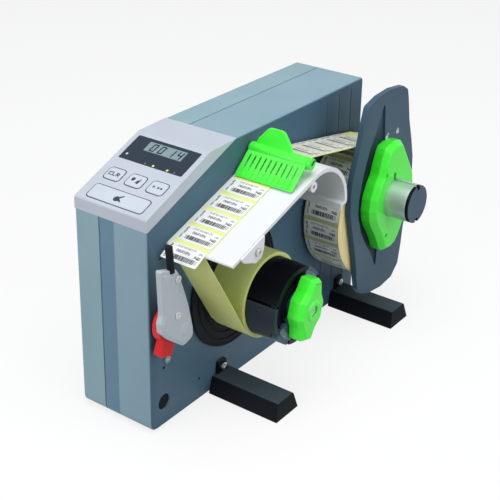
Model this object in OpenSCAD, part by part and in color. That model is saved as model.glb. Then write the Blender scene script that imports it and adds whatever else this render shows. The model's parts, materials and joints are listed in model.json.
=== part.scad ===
// Bench-top label dispenser. Lengths are millimetres.
// Inner layout: X runs along the housing from its left end, Z up from its
// underside, and Y runs back from the front face, so the working side is at
// negative Y. The finished part stands on its pads, centred over its box.

/* [Housing] */
// Length of the housing
housing_l = 344; // [335:1:370]
// Height of the housing
housing_h = 250; // [246:1:262]
// Depth of the front shell
front_d = 55.5; // [54:0.5:62]
// Depth of the rear cover
rear_d = 28; // [24:0.5:36]
// Wall thickness of both shells
wall = 3; // [2.5:0.25:3.5]
// Thickness of the front face
face_t = 3.5; // [3:0.25:4.5]
// Radius of the lower left corner
big_corner_r = 9.5; // [6:0.5:12]
// Radius of the other corners
corner_r = 3; // [2:0.25:4]
// Chamfer round the front and rear edges
edge_chamfer = 1.4; // [0.8:0.1:2]
// Depth and width of the groove between shell and cover
joint_groove = 1.2; // [0.8:0.1:1.6]
// Width of the shallow grooves down the face
face_groove_w = 1.4; // [1:0.1:2]
// Distance between the grooves down the face
face_groove_pitch = 22.5; // [20:0.5:24]
// Thickness of the steel chassis plate behind the face
chassis_t = 3; // [2:0.25:4]
// Height of the rubber pads under the housing
pad_h = 1.5; // [1:0.25:3]

/* [Control panel] */
// Length of the seam's run along the top of the housing
seam_run = 124; // [118:1:130]
// Drop of the seam from the top to the left end
seam_drop = 47.8; // [44:0.2:50]
// Height of the panel's left edge above the seam
lip_h = 11.9; // [11.6:0.1:13]
// Distance of the panel's bend from the left end
bend_x = 85; // [83:0.5:88]
// Drop of the bend below the top of the housing
bend_drop = 1.4; // [1:0.1:2]
// Wall thickness of the panel moulding
panel_t = 2.5; // [2.2:0.1:2.8]
// Length of the small keys up the slope
small_key_l = 14; // [12:0.5:14.5]
// Width of the small keys
small_key_w = 17.5; // [15:0.5:18.5]
// Length of the start key up the slope
start_key_l = 16; // [14:0.5:17]
// Width of the start key
start_key_w = 63; // [56:1:66]
// Length of the display window up the slope
window_l = 31.8; // [30:0.2:32.4]
// Width of the display window
window_w = 73; // [68:1:75]
// Travel of the keys
key_travel = 0.5; // [0.3:0.1:0.5]

/* [Web path] */
// Width of the liner
liner_w = 39.6; // [36:0.2:40.4]
// Width of a label
label_w = 37; // [33:0.5:37.5]
// Length of a label along the web
label_l = 18.5; // [16:0.5:19]
// Distance from one label to the next
label_pitch = 23; // [22:0.5:26]
// Distance of the peel edge from the left end
peel_x = 25.2; // [24:0.2:28]
// Drop of the peel edge's centre below the top
peel_drop = 66.8; // [64:0.2:70]
// Distance of the guide arch's centre from the right end
arch_inset = 184; // [181:0.5:187]
// Drop of the guide arch's centre below the top
arch_drop = 68.2; // [66:0.2:71]
// Outer radius of the guide arch
arch_r = 44; // [42:0.5:45]
// Thickness of the guide plate at the arch
guide_t = 4.2; // [3.6:0.1:4.6]
// Width of the guide plate
guide_w = 71; // [69:0.5:74]

/* [Comb] */
// Distance of the comb's rod from the right end
comb_inset = 200; // [198:0.5:202]
// Drop of the comb's rod below the top
comb_drop = 14.5; // [13:0.5:16]
// Radius of the comb's tube
comb_tube_r = 6; // [5.5:0.1:6.5]
// Radius of the comb's steel rod
comb_rod_r = 3; // [2.5:0.1:3.4]
// Width of the comb
comb_w = 63; // [58:1:64]
// Number of fingers
finger_count = 11; // [9:1:12]
// Length of the thumb tab above the tube
thumb_h = 20; // [14:0.5:22]

/* [Rewinder] */
// Distance of the rewinder's axis from the left end
rewinder_x = 120.2; // [118:0.2:123]
// Height of the rewinder's axis
rewinder_z = 105.4; // [102:0.2:108]
// Radius of the rear flange disc
flange_r = 64; // [58:0.5:65]
// Outer radius of the drum
drum_r = 37.5; // [36:0.25:38.5]
// Reach of the drum in front of the face
drum_reach = 75; // [73:0.5:77]
// Wall of the drum's half shells
drum_wall = 4.5; // [4:0.25:5]
// Radius of the liner wound on the drum
wound_r = 41.7; // [40.5:0.1:44]
// Distance that the lower half shell draws in
shell_travel = 2; // [1.5:0.25:2]
// Half length of the wing knob
knob_half_l = 33; // [30:0.5:35]
// Half width of the wing knob
knob_half_w = 25; // [22:0.5:27]
// Thickness of the wing knob
knob_t = 16; // [13:0.5:17]
// Radius of the rewinder's shaft
shaft_r = 6; // [5:0.25:6.5]
// Radius of the driven pulley
driven_pulley_r = 30; // [26:0.5:31]
// Radius of the motor pulley
motor_pulley_r = 10; // [8:0.5:12]

/* [Supply] */
// Distance of the spindle from the right end
spindle_inset = 39; // [36:0.5:42]
// Drop of the spindle below the top
spindle_drop = 105; // [102:0.5:108]
// Outer radius of the spindle tube
spindle_r = 20; // [19:0.25:20.5]
// Reach of the spindle tube in front of the face
spindle_reach = 90; // [88:0.5:96]
// Outer radius of the label roll
roll_r = 71; // [60:0.5:72]
// Inner radius of the roll's cardboard core
core_r = 38; // [37:0.25:38.5]
// Thickness of the roll's cardboard core
core_t = 2.5; // [2:0.25:3]
// Thickness of the margin stop
stop_t = 4; // [3.5:0.25:4.5]
// Half height of the margin stop
stop_half_h = 110; // [104:1:112]
// Half width of the margin stop
stop_half_w = 63.5; // [60:0.5:65]
// Depth of the lock hub
hub_t = 13.7; // [12:0.1:15]
// Half width of the lock hub
hub_half_w = 41.5; // [38:0.5:43]
// Half height of the lock hub
hub_half_h = 58; // [54:0.5:60]

/* [Sensor] */
// Distance of the sensor post from the left end
post_x = 17.5; // [16:0.5:19]
// Drop of the sensor post below the peel edge
post_drop = 71.2; // [69:0.2:73]
// Radius of the sensor post
post_r = 8; // [7:0.25:8.5]
// Height of the sensor arm above its post
arm_h = 68; // [62:0.5:68.5]
// Thickness of the sensor arm
arm_t = 6; // [5:0.25:7]
// Radius of the sensor rod
rod_r = 3.4; // [3:0.1:3.8]
// Outer radius of the clamp lever's ring
clamp_r = 18; // [16:0.5:19]

/* [Feet] */
// Distance of the left foot's middle from the left end
left_foot_x = 101.5; // [95:0.5:108]
// Distance of the right foot's middle from the right end
right_foot_inset = 32; // [28:0.5:40]
// Width of a foot at the floor
foot_w = 35; // [30:0.5:38]
// Width of a foot at its top
foot_top_w = 25; // [22:0.5:27]
// Height of a foot
foot_h = 16; // [14:0.5:18]
// Reach of a foot in front of the face
foot_reach = 79.7; // [74:0.5:86]

/* [Hidden] */

$fn = 64;

// Overrun of cutters, running fits and close seats
over = 1;
run_fit = 0.05;
slide_fit = 0.15;
soft_gap = 0.3;
arc_steps = 6;
arch_steps = 16;

// Plane geometry helpers
function unit(v) = v / norm(v);
function turn(v) = [-v[1], v[0]];
function cross2(a, b) = a[0] * b[1] - a[1] * b[0];
function polar(r, a) = [r * cos(a), r * sin(a)];
function meet(p, u, q, v) = p + u * (cross2(q - p, v) / cross2(u, v));
function item(list, i) = list[(i + len(list)) % len(list)];
function each_value(v, i) = is_list(v) ? v[i] : v;

// Arc that rounds corner b between points a and c
function corner_arc(a, b, c, r) = r <= 0 ? [b] :
    let (u = unit(a - b), v = unit(c - b), half = acos(u * v) / 2,
        centre = b + unit(u + v) * (r / sin(half)),
        first = b + u * (r / tan(half)) - centre,
        start = atan2(first[1], first[0]),
        sweep = (180 - 2 * half) * sign(cross2(b - a, c - b)))
    [for (i = [0 : arc_steps]) centre + polar(r, start + sweep * i / arc_steps)];
function rounded(pts, radii) = [for (i = [0 : len(pts) - 1])
    each corner_arc(item(pts, i - 1), pts[i], item(pts, i + 1), each_value(radii, i))];

// Moves each edge of a counter-clockwise outline inwards
function inset(pts, d) = [for (i = [0 : len(pts) - 1])
    let (before = unit(pts[i] - item(pts, i - 1)), after = unit(item(pts, i + 1) - pts[i]),
        d_before = each_value(d, (i + len(pts) - 1) % len(pts)), d_after = each_value(d, i))
    meet(pts[i] + turn(before) * d_before, before, pts[i] + turn(after) * d_after, after)];
function mirrored(pts) = [for (i = [len(pts) - 1 : -1 : 0]) [-pts[i][0], pts[i][1]]];
function spun(pts, a) = [for (p = pts)
    [p[0] * cos(a) - p[1] * sin(a), p[0] * sin(a) + p[1] * cos(a)]];
function moved(pts, by) = [for (p = pts) p + by];
function arc(centre, r, a0, a1, steps) = [for (i = [0 : steps])
    centre + polar(r, a0 + (a1 - a0) * i / steps)];
function slab(x0, x1, y0, y1) = [[x0, y0], [x1, y0], [x1, y1], [x0, y1]];

// Direction of the common normal of two circles that one line touches
function normal_angle(c1, r1, c2, r2, side) = let (d = c2 - c1)
    atan2(d[1], d[0]) + side * acos((r1 - r2) / norm(d));

// Housing outlines, seen from the front
seam_z = housing_h - seam_drop;
housing_points = [[0, 0], [housing_l, 0], [housing_l, housing_h], [seam_run, housing_h],
    [0, seam_z]];
housing_radii = [big_corner_r, corner_r, corner_r, 0, 0];
rear_y = front_d + rear_d;
chassis_y = face_t + chassis_t;
function housing_outline(d) = rounded(inset(housing_points, d),
    [for (r = housing_radii) max(0, r - d)]);

// Bosses that join shell and cover, and studs that carry the chassis plate
boss_r = 5.5;
boss_inset = 14;
boss_lift = 13;
screw_r = 2;
screw_head_r = 3.8;
screw_head_h = 2.6;
boss_points = [[boss_inset + 2 * screw_head_r + big_corner_r + 2 * screw_r, boss_lift],
    [housing_l - boss_inset, boss_inset], [housing_l - boss_inset, housing_h - boss_inset],
    [boss_inset, seam_z - boss_inset - screw_r]];
chassis_edge = 6;
stud_r = 3;
stud_h = 6;
nut_r = 5.5;
nut_h = 2.5;
stud_points = [[62, 50], [62, housing_h - 90], [housing_l - 114, 30],
    [housing_l - 89, housing_h - 18]];
joint_lip = 4;
joint_lip_t = 1.5;

// Panel geometry: s runs up the slope, n stands out of it
lip_top_z = seam_z + lip_h;
bend_z = housing_h - bend_drop;
panel_angle = atan2(bend_z - lip_top_z, bend_x);
slope_l = norm([bend_x, bend_z - lip_top_z]);
panel_points = [[0, seam_z], [seam_run, housing_h], [bend_x, bend_z], [0, lip_top_z]];
panel_lip_r = 2.6;
panel_bend_r = 6;
key_gap = 0.3;
key_proud = 0.6;
key_corner_r = 3;
skirt_w = 0.9;
skirt_h = 1;
skirt_gap = 0.3;
board_depth = 7;
board_t = 1.6;
switch_h = board_depth - panel_t - skirt_gap - skirt_h - key_travel - run_fit;
switch_w = 6;
key_margin_y = 7.5;
start_key_s = 4.5;
small_key_s = 29;
panel_w = rear_y;
small_key_step = (panel_w - 2 * key_margin_y - small_key_w - (panel_w - 2 * key_margin_y) / 40) / 2;
window_s = slope_l - window_l - 4.2;
window_t = 1.5;
window_corner_r = 1.5;
window_ledge = 1.2;
window_y = (panel_w - window_w) / 2;
display_l = 15;
display_w = 46;
display_y = window_y + 12;
lamp_r = 1.5;
lamp_y_shares = [0.11, 0.22, 0.44, 0.57];
board_post_r = 2.2;
board_post_s = [(start_key_s + start_key_l + small_key_s) / 2,
    (small_key_s + small_key_l + window_s) / 2];

// Web: inner face offsets, tangents round nose, arch, roll and wound liner
liner_t = 0.5;
label_t = 0.3;
web_y = 3.4;
nose_r = 1.5;
nose = [peel_x + nose_r, housing_h - peel_drop];
arch = [housing_l - arch_inset, housing_h - arch_drop];
rewinder = [rewinder_x, rewinder_z];
spindle_x = housing_l - spindle_inset;
spindle = [spindle_x, housing_h - spindle_drop];
roll_drop = core_r - spindle_r - soft_gap;
roll_centre = [spindle_x, spindle[1] - roll_drop];
incline_normal = normal_angle(nose, nose_r, arch, arch_r, 1);
roll_normal = normal_angle(arch, arch_r, roll_centre, roll_r, 1);
wound_normal = normal_angle(nose, nose_r, rewinder, wound_r, -1) + 360;
incline_start = nose + polar(nose_r, incline_normal);
arch_start = arch + polar(arch_r, incline_normal);
arch_finish = arch + polar(arch_r, roll_normal);
roll_start = roll_centre + polar(roll_r, roll_normal);
incline_l = norm(arch_start - incline_start);
arch_l = arch_r * (incline_normal - roll_normal) * PI / 180;
run_l = norm(roll_start - arch_finish);

// Inner or outer face of the web at height h above what carries it
function web_face(h) = concat([rewinder + polar(wound_r + h, wound_normal)],
    arc(nose, nose_r + h, wound_normal, incline_normal, arc_steps),
    arc(arch, arch_r + h, incline_normal, roll_normal, arch_steps),
    [roll_centre + polar(roll_r + h, roll_normal)]);
// Point above the web at distance s from the peel edge
function web_point(s, h) =
    s <= incline_l ? incline_start + turn(polar(1, incline_normal)) * -s + polar(h, incline_normal) :
    s <= incline_l + arch_l ?
        let (a = incline_normal - (s - incline_l) / arch_r * 180 / PI) arch + polar(arch_r + h, a) :
    arch_finish + turn(polar(1, roll_normal)) * -(s - incline_l - arch_l) + polar(h, roll_normal);
label_steps = 5;
label_seat = 0.1;
label_lift = soft_gap + liner_t + label_seat;
first_label_s = 6.5;
label_count = floor((incline_l + arch_l + run_l - first_label_s) / label_pitch);
droop_angle = 10;
label_margin = (liner_w - label_w) / 2;

// Guide plate: screw channels below the plate and the curl at its tail
channel_r = 5;
channel_bore_r = 2.1;
channel_drop = channel_r + guide_t / 2;
tail_angle = -3;
tail_in = 6.5;
tail_drop = 7;
tail_t = 2.4;
near_channel_s = 30;
far_channel_s = incline_l - 4;
guide_screw_l = 16;
tab_t = 2;
tab_r = 9.5;
function channel_at(s) = web_point(s, -channel_drop - guide_t / 2);

// Comb: fingers run from the tube down to the web
comb_y = 2.5;
finger_t = 2.2;
tip_t = 1.2;
slot_w = 1.3;
comb_tip_s = incline_l - 29.35;
comb_hub = [housing_l - comb_inset, housing_h - comb_drop];
comb_tip = web_point(comb_tip_s, label_lift + label_t + soft_gap);
comb_dir = unit(comb_tip - comb_hub);
comb_l = norm(comb_tip - comb_hub);
finger_root = 11;
thumb_t = 3;
thumb_base_shares = [0.05, 0.75];
thumb_top_shares = [0.22, 0.55];
thumb_corner_r = 5;
rod_tip = 3;

// Rewinder: shaft line from the knob back to the pulley
disc_t = 2.2;
disc_y = 0.8;
shell_y = disc_y + disc_t;
disc_rim_h = 0.2;
split_angle = 160;
split_gap = shell_travel + 0.5;
block_y = chassis_y;
block_l = 32;
block_r = 19;
block_flange_r = 30;
block_flange_t = 4;
bearing_r = 14;
bearing_w = 8;
shaft_front = 86;
pulley_y = block_y + block_l + 3;
pulley_w = 9.6;
pulley_rim = 2.5;
pulley_rim_t = 1.5;
belt_t = 1.6;
belt_w = 9;
motor = [rewinder_x + 76, rewinder_z - 45];
motor_r = 23;
motor_flange = 54;
motor_flange_t = 4;
motor_body_l = 30;
motor_shaft_r = 4;
motor_screw_inset = 6;
carrier_t = 5;
carrier_hub_r = 13;
carrier_r = drum_r - drum_wall - shell_travel - 1;
carrier_block_t = 7;
tab_angles = [48, 228];
tab_half_angle = 16;
notch_half_angle = 21.5;
disc_notch_r = 2;
knob_gap = 1;
knob_y = drum_reach + knob_gap;
knob_angle = 72;
knob_edge = 4;
knob_corner_r = 6;
knob_screw_r = 3.2;
knob_well_r = 5;
knob_well_d = 3;
knob_points_share = [[1, 0.26], [0.68, 0.72], [0.26, 1]];

// Supply spindle, roll, stop and lock
spindle_wall = 3.5;
groove_w = 4;
groove_d = 2;
plug_l = 20;
bolt_r = 4;
bolt_head_r = 7;
bolt_head_h = 5.5;
cap_t = 4;
cap_spigot = 8;
cap_notch_w = 5;
cap_notch_d = 4;
roll_y = 3.3;
roll_w = 41.7;
stop_y = roll_y + roll_w + 1;
stop_side_shares = [[0.62, -1], [0.74, -0.6], [0.87, -0.34], [1, 0], [0.87, 0.34], [0.74, 0.6],
    [0.62, 1]];
stop_tip_share = 0.04;
stop_corner_r = 9;
ridge_h = 2.6;
ridge_share = 0.1;
hub_y = stop_y + stop_t;
hub_gap = 0.3;
hub_side_shares = [[0.54, -1], [0.78, -0.72], [0.97, -0.3], [0.97, 0.3], [0.78, 0.72], [0.54, 1]];
hub_corner_r = 8;
hub_sweep_r = norm([hub_side_shares[0][0] * hub_half_w, hub_half_h]);
hub_side_d = 8;
hub_chamfer = 6;
hub_slot_w = 5;
hub_slot_h = 6.5;
hub_hole_r = 1.5;
hub_hole_shares = [[-0.16, 0.39], [0.02, -0.77]];
key_clear = 0.3;

// Sensor post, arm and clamp lever
arm_y = 20;
arm = [post_x, nose[1] - post_drop];
spigot_r = 4;
spigot_cap_r = 6.5;
spigot_cap_t = 2;
arm_x_min_share = -0.468;
arm_shares = [[-0.413, 1], [-0.37, 0.37], [arm_x_min_share, 0.26], [-0.455, 0.15],
    [-0.2, -0.13], [0, -0.235], [0.205, -0.15], [0.09, 0.46], [-0.075, 0.863]];
arm_corner_radii = [2, 12, 5, 5, 8, 9, 11, 20, 3];
rod_foot = [-16, 61.5];
rod_top = [-18.6, 86.5];
rod_lug_r = 6;
rod_lug_wall = 1;
rod_mid_y = arm_y + slide_fit + rod_lug_wall + rod_r;
arm_screw_points = [[-10.3, 18.5], [-9.5, 53]];
arm_screw_r = 3.6;
arm_screw_h = 1.6;
clamp_y = 4;
clamp_t = 9;
clamp_tail_w = 15;
clamp_tail_l = 32;
clamp_tail_angle = 253;
clamp_corner_r = 4;

// Feet, pads and details of the face
foot_end_slope = 2.2;
foot_corner_r = 2.5;
foot_tab_h = 29;
foot_tab_w = 18;
foot_tab_top_w = 12;
foot_tab_t = 3;
foot_screw_z = 22.5;
right_foot_x = housing_l - right_foot_inset;
pad_r = 6;
pad_seat = 1.2;
pad_inset = 30;
pad_setback = 12;
small_hole_r = 1.6;
small_holes = [[19.1, 60.9], [69.8, 22.9]];
plain_hole = [18.5, 25];
plain_hole_r = 7.8;
face_screw = [22.4, 69];
slit = [14.3, 171.2];
slit_l = 7;
slit_w = 1.4;
groove_start_x = housing_l - 69;
groove_depth = 0.7;
groove_top = 7;
groove_bottom = 8;
face_groove_count = 3;

// Electrical parts and rear cover
standoff_h = 8;
standoff_r = 3;
main_board_area = [[housing_l - 176, 118], [housing_l - 66, housing_h - 45]];
power_board_area = [[motor[0] + motor_flange / 2 + 2.8, 52], [housing_l - 26, 112]];
board_edge = 5;
inlet = [housing_l - 48, 34];
inlet_w = 27;
inlet_h = 19.5;
inlet_d = 20;
inlet_flange = 3;
inlet_flange_t = 2;
inlet_well = 2;
switch_at = [housing_l - 86, 34];
switch_body_w = 19;
switch_body_h = 13;
switch_d = 16;
rocker_w = 12;
rocker_h = 11;
rocker_angle = 8;
rocker_pin_r = 1.5;
rocker_depth = 8;
rocker_proud = 1.6;
vent_count = 12;
vent_w = 2.6;
vent_l = 46;
vent_pitch = 7.5;
vent_at = [78, housing_h - 74];

// Box of the finished part
arm_points = moved([for (p = arm_shares) p * arm_h], arm);
arm_outline = rounded(arm_points, arm_corner_radii);
function stop_outline() = let (side = [for (p = stop_side_shares)
        [p[0] * stop_half_w, p[1] * stop_half_h]],
        top = [0, stop_half_h * (1 + stop_tip_share)], bottom = -top)
    rounded(concat([bottom], side, [top], mirrored(side)),
        [for (i = [0 : 2 * len(side) + 1]) stop_corner_r]);
x_low = min([for (p = arm_outline) p[0]]);
x_high = max(housing_l, spindle_x + max([for (p = stop_outline()) p[0]]), roll_centre[0] + roll_r);
y_low = -max(spindle_reach + cap_t, knob_y + knob_t);
y_high = rear_y + inlet_flange_t;

module place() {
    translate([-(x_low + x_high) / 2, -(y_low + y_high) / 2, pad_h])
        children();
}
// Extrudes a front-view outline from depth y0 back to depth y1
module along_y(y0, y1) {
    translate([0, y1, 0])
        rotate([90, 0, 0])
            linear_extrude(y1 - y0)
                children();
}
// Round bar along Y at a front-view point
module bar(at, r, y0, y1) {
    translate([at[0], y1, at[1]])
        rotate([90, 0, 0])
            cylinder(r = r, h = y1 - y0);
}
module hex_bar(at, r, y0, y1) {
    translate([at[0], y1, at[1]])
        rotate([90, 0, 0])
            cylinder(r = r, h = y1 - y0, $fn = 6);
}
module ring(at, r_out, r_in, y0, y1) {
    difference() {
        bar(at, r_out, y0, y1);
        bar(at, r_in, y0 - over, y1 + over);
    }
}
// Slab on the panel's slope: s, y and n from first to second value
module panel_slab(s0, s1, y0, y1, n0, n1, r) {
    translate([0, 0, n0])
        linear_extrude(n1 - n0)
            polygon(rounded(slab(s0, s1, y0, y1), r));
}
module on_panel() {
    translate([0, 0, lip_top_z])
        rotate([0, -panel_angle, 0])
            children();
}
module housing_ring(y0, y1, outer, inner) {
    difference() {
        along_y(y0, y1)
            polygon(housing_outline(outer));
        along_y(y0 - over, y1 + over)
            polygon(housing_outline(inner));
    }
}

module front_shell() {
    color("#5a707f")
        place()
            difference() {
                union() {
                    hull() {
                        along_y(0, face_t)
                            polygon(housing_outline(edge_chamfer));
                        along_y(edge_chamfer, face_t)
                            polygon(housing_outline(0));
                    }
                    housing_ring(face_t, front_d - joint_groove, 0, wall);
                    housing_ring(front_d - joint_groove, front_d, joint_groove, wall);
                    for (p = boss_points)
                        bar(p, boss_r, face_t, front_d);
                    for (p = stud_points)
                        bar(p, stud_r, face_t, chassis_y + stud_h);
                }
                for (p = boss_points)
                    bar(p, screw_r, front_d - boss_r * 2, front_d + over);
                for (i = [0 : face_groove_count - 1])
                    translate([groove_start_x + i * face_groove_pitch, -over, groove_bottom])
                        cube([face_groove_w, groove_depth + over,
                            housing_h - groove_top - groove_bottom]);
                for (p = small_holes)
                    bar(p, small_hole_r, -over, face_t + over);
                bar(plain_hole, plain_hole_r, -over, face_t + over);
                bar(face_screw, screw_r + run_fit, -over, face_t + over);
                translate([slit[0], -over, slit[1]])
                    cube([slit_l, face_t + 2 * over, slit_w]);
                bar(rewinder, shaft_r + 2, -over, face_t + over);
                bar(spindle, spindle_r + slide_fit, -over, face_t + over);
                bar(arm, post_r + run_fit, -over, face_t + over);
                bar(comb_hub, comb_rod_r + run_fit, -over, face_t + over);
                for (s = [near_channel_s, far_channel_s])
                    bar(channel_at(s), screw_r + run_fit, -over, face_t + over);
                for (x = [left_foot_x, right_foot_x])
                    bar([x, foot_screw_z], screw_r + run_fit, -over, face_t + over);
                pad_seats(front_d / 2);
            }
}
module pad_seats(y) {
    for (x = [pad_inset, housing_l - pad_inset])
        translate([x, y, -over])
            cylinder(r = pad_r, h = pad_seat + over);
}
module chassis_plate() {
    color("#aeb4b8")
        place()
            difference() {
                union() {
                    along_y(face_t, chassis_y)
                        polygon(housing_outline(wall + chassis_edge));
                    for (area = [main_board_area, power_board_area], p = board_corners(area))
                        bar(p, standoff_r, chassis_y, chassis_y + standoff_h);
                }
                for (p = boss_points)
                    along_y(face_t - over, chassis_y + over)
                        polygon(boss_notch(p));
                for (p = stud_points)
                    bar(p, stud_r + slide_fit, face_t - over, chassis_y + over);
                bar(rewinder, bearing_r + run_fit, face_t - over, chassis_y + over);
                bar(spindle, bolt_r + slide_fit, face_t - over, chassis_y + over);
                bar(arm, post_r + run_fit, face_t - over, chassis_y + over);
                bar(comb_hub, comb_rod_r + run_fit, face_t - over, chassis_y + over);
                for (s = [near_channel_s, far_channel_s])
                    bar(channel_at(s), screw_r + run_fit, face_t - over, chassis_y + over);
                for (x = [left_foot_x, right_foot_x])
                    bar([x, foot_screw_z], screw_r + run_fit, face_t - over, chassis_y + over);
                bar(face_screw, screw_r + run_fit, face_t - over, chassis_y + over);
                for (p = motor_screw_points())
                    bar(p, screw_r + run_fit, face_t - over, chassis_y + over);
            }
}
// Square notch that clears a boss and opens to the nearest edges of the plate
function boss_notch(p) = let (near = boss_r + over, far = 4 * boss_r,
        right = p[0] > housing_l / 2, high = p[1] > housing_h / 2)
    slab(p[0] - (right ? near : far), p[0] + (right ? far : near),
        p[1] - (high ? near : far), p[1] + (high ? far : near));
function board_corners(area) = [for (x = [area[0][0] + board_edge, area[1][0] - board_edge],
    z = [area[0][1] + board_edge, area[1][1] - board_edge]) [x, z]];
module chassis_nuts() {
    color("silver")
        place()
            for (p = stud_points)
                difference() {
                    hex_bar(p, nut_r, chassis_y, chassis_y + nut_h);
                    bar(p, stud_r + run_fit, chassis_y - over, chassis_y + nut_h + over);
                }
}
module rear_cover() {
    color("#6d818e")
        place()
            difference() {
                union() {
                    hull() {
                        along_y(rear_y - wall, rear_y)
                            polygon(housing_outline(edge_chamfer));
                        along_y(rear_y - wall, rear_y - edge_chamfer)
                            polygon(housing_outline(0));
                    }
                    housing_ring(front_d, rear_y - wall, 0, wall);
                    housing_ring(front_d - joint_lip, front_d, wall + slide_fit,
                        wall + slide_fit + joint_lip_t);
                    housing_ring(front_d, front_d + wall, wall - joint_lip_t,
                        wall + slide_fit + joint_lip_t);
                    for (p = boss_points)
                        bar(p, boss_r, front_d, rear_y - wall);
                }
                for (p = boss_points) {
                    bar(p, screw_r + slide_fit, front_d - over, rear_y + over);
                    bar(p, screw_head_r + slide_fit, rear_y - screw_head_h, rear_y + over);
                }
                for (i = [0 : vent_count - 1])
                    translate([vent_at[0] + i * vent_pitch, rear_y - wall - over, vent_at[1]])
                        cube([vent_w, wall + 2 * over, vent_l]);
                rear_window(inlet, inlet_w, inlet_h);
                rear_window(switch_at, switch_body_w, switch_body_h);
                pad_seats(rear_y - pad_setback);
            }
}
module rear_window(at, w, h) {
    translate([at[0] - w / 2 - slide_fit, rear_y - wall - over, at[1] - h / 2 - slide_fit])
        cube([w + 2 * slide_fit, wall + 2 * over, h + 2 * slide_fit]);
}
module cover_screws() {
    color("silver")
        place()
            for (p = boss_points)
                difference() {
                    union() {
                        bar(p, screw_head_r, rear_y - screw_head_h + run_fit, rear_y - run_fit);
                        bar(p, screw_r - run_fit, front_d - boss_r, rear_y - screw_head_h + over);
                    }
                    hex_bar(p, screw_r, rear_y - screw_head_h / 2, rear_y + over);
                }
}
module rubber_pads() {
    color("#202224")
        place()
            for (x = [pad_inset, housing_l - pad_inset], y = [front_d / 2, rear_y - pad_setback])
                translate([x, y, -pad_h])
                    cylinder(r = pad_r - slide_fit, h = pad_h + pad_seat);
}

module foot(x) {
    color("#1c1f22")
        place()
            difference() {
                union() {
                    intersection() {
                        along_y(-foot_reach, 0)
                            polygon(moved(foot_section(), [x, 0]));
                        translate([x - foot_w, 0, 0])
                            rotate([90, 0, 90])
                                linear_extrude(2 * foot_w)
                                    polygon([[-foot_reach, -pad_h], [0, -pad_h], [0, foot_h],
                                        [foot_end_slope - foot_reach, foot_h]]);
                    }
                    along_y(-foot_tab_t, 0)
                        polygon(rounded([[x - foot_tab_w / 2, 0], [x + foot_tab_w / 2, 0],
                            [x + foot_tab_top_w / 2, foot_tab_h],
                            [x - foot_tab_top_w / 2, foot_tab_h]], [0, 0, foot_corner_r,
                            foot_corner_r]));
                }
                bar([x, foot_screw_z], screw_r + slide_fit, -foot_tab_t - over, over);
                bar([x, foot_screw_z], screw_head_r + slide_fit, -foot_reach - over, -foot_tab_t);
            }
}
function foot_section() = rounded([[-foot_w / 2, -pad_h], [foot_w / 2, -pad_h],
    [foot_top_w / 2, foot_h], [-foot_top_w / 2, foot_h]], [0, 0, foot_corner_r, foot_corner_r]);
module left_foot() {
    foot(left_foot_x);
}
module right_foot() {
    foot(right_foot_x);
}
// Screws that hold the feet, and one that holds the chassis plate
module face_screws() {
    color("#3a3d40")
        place()
            for (at = [[left_foot_x, foot_screw_z, foot_tab_t],
                [right_foot_x, foot_screw_z, foot_tab_t], [face_screw[0], face_screw[1], 0]])
                face_fixing([at[0], at[1]], at[2]);
}
module face_fixing(at, seat) {
    difference() {
        union() {
            bar(at, screw_head_r, -seat - screw_head_h, -seat);
            bar(at, screw_r, -seat - screw_head_h / 2, chassis_y + over);
        }
        hex_bar(at, screw_r, -seat - screw_head_h - over, -seat - screw_head_h / 2);
    }
}

module control_panel() {
    color("#c3cdd3")
        place()
            difference() {
                along_y(0, rear_y)
                    polygon(rounded(panel_points, [0, 0, panel_bend_r, panel_lip_r]));
                difference() {
                    along_y(panel_t, rear_y - panel_t)
                        polygon(inset(panel_points, [-over, panel_t, panel_t, panel_t]));
                    on_panel()
                        for (s = board_post_s, y = [panel_t + board_post_r / 2,
                            panel_w - panel_t - board_post_r / 2])
                            translate([s, y, -board_depth])
                                cylinder(r = board_post_r, h = board_depth);
                }
                on_panel() {
                    for (k = [0 : 2])
                        key_hole(small_key_s, small_key_y(k), small_key_l, small_key_w);
                    key_hole(start_key_s, start_key_y(), start_key_l, start_key_w);
                    panel_slab(window_s, window_s + window_l, window_y, window_y + window_w,
                        -window_t, over, window_corner_r);
                    panel_slab(window_s + window_ledge, window_s + window_l - window_ledge,
                        window_y + window_ledge, window_y + window_w - window_ledge,
                        -panel_t - over, 0, window_corner_r);
                }
            }
}
function small_key_y(k) = key_margin_y + k * small_key_step;
function start_key_y() = (panel_w - start_key_w) / 2;
module key_hole(s, y, l, w) {
    panel_slab(s - key_gap, s + l + key_gap, y - key_gap, y + w + key_gap, -panel_t - over, over,
        key_corner_r + key_gap);
}
module key_cap(s, y, l, w) {
    color("#d2d9dd")
        place()
            on_panel() {
                panel_slab(s, s + l, y, y + w, -panel_t - skirt_gap - skirt_h / 2, key_proud,
                    key_corner_r);
                panel_slab(s - skirt_w, s + l + skirt_w, y - skirt_w, y + w + skirt_w,
                    -panel_t - skirt_gap - skirt_h, -panel_t - skirt_gap, key_corner_r);
            }
}
module clear_key() {
    key_cap(small_key_s, small_key_y(2), small_key_l, small_key_w);
}
module mode_key() {
    key_cap(small_key_s, small_key_y(1), small_key_l, small_key_w);
}
module step_key() {
    key_cap(small_key_s, small_key_y(0), small_key_l, small_key_w);
}
module start_key() {
    key_cap(start_key_s, start_key_y(), start_key_l, start_key_w);
}
module display_window() {
    color("#46525e")
        place()
            on_panel()
                panel_slab(window_s + slide_fit, window_s + window_l - slide_fit,
                    window_y + slide_fit, window_y + window_w - slide_fit, -window_t, -run_fit,
                    window_corner_r);
}
module display() {
    color("#b9c8c8")
        place()
            on_panel()
                panel_slab(window_s + window_l / 2 - over, window_s + window_l / 2 + display_l - over,
                    display_y, display_y + display_w, -board_depth, -window_t - slide_fit, over);
}
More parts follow.
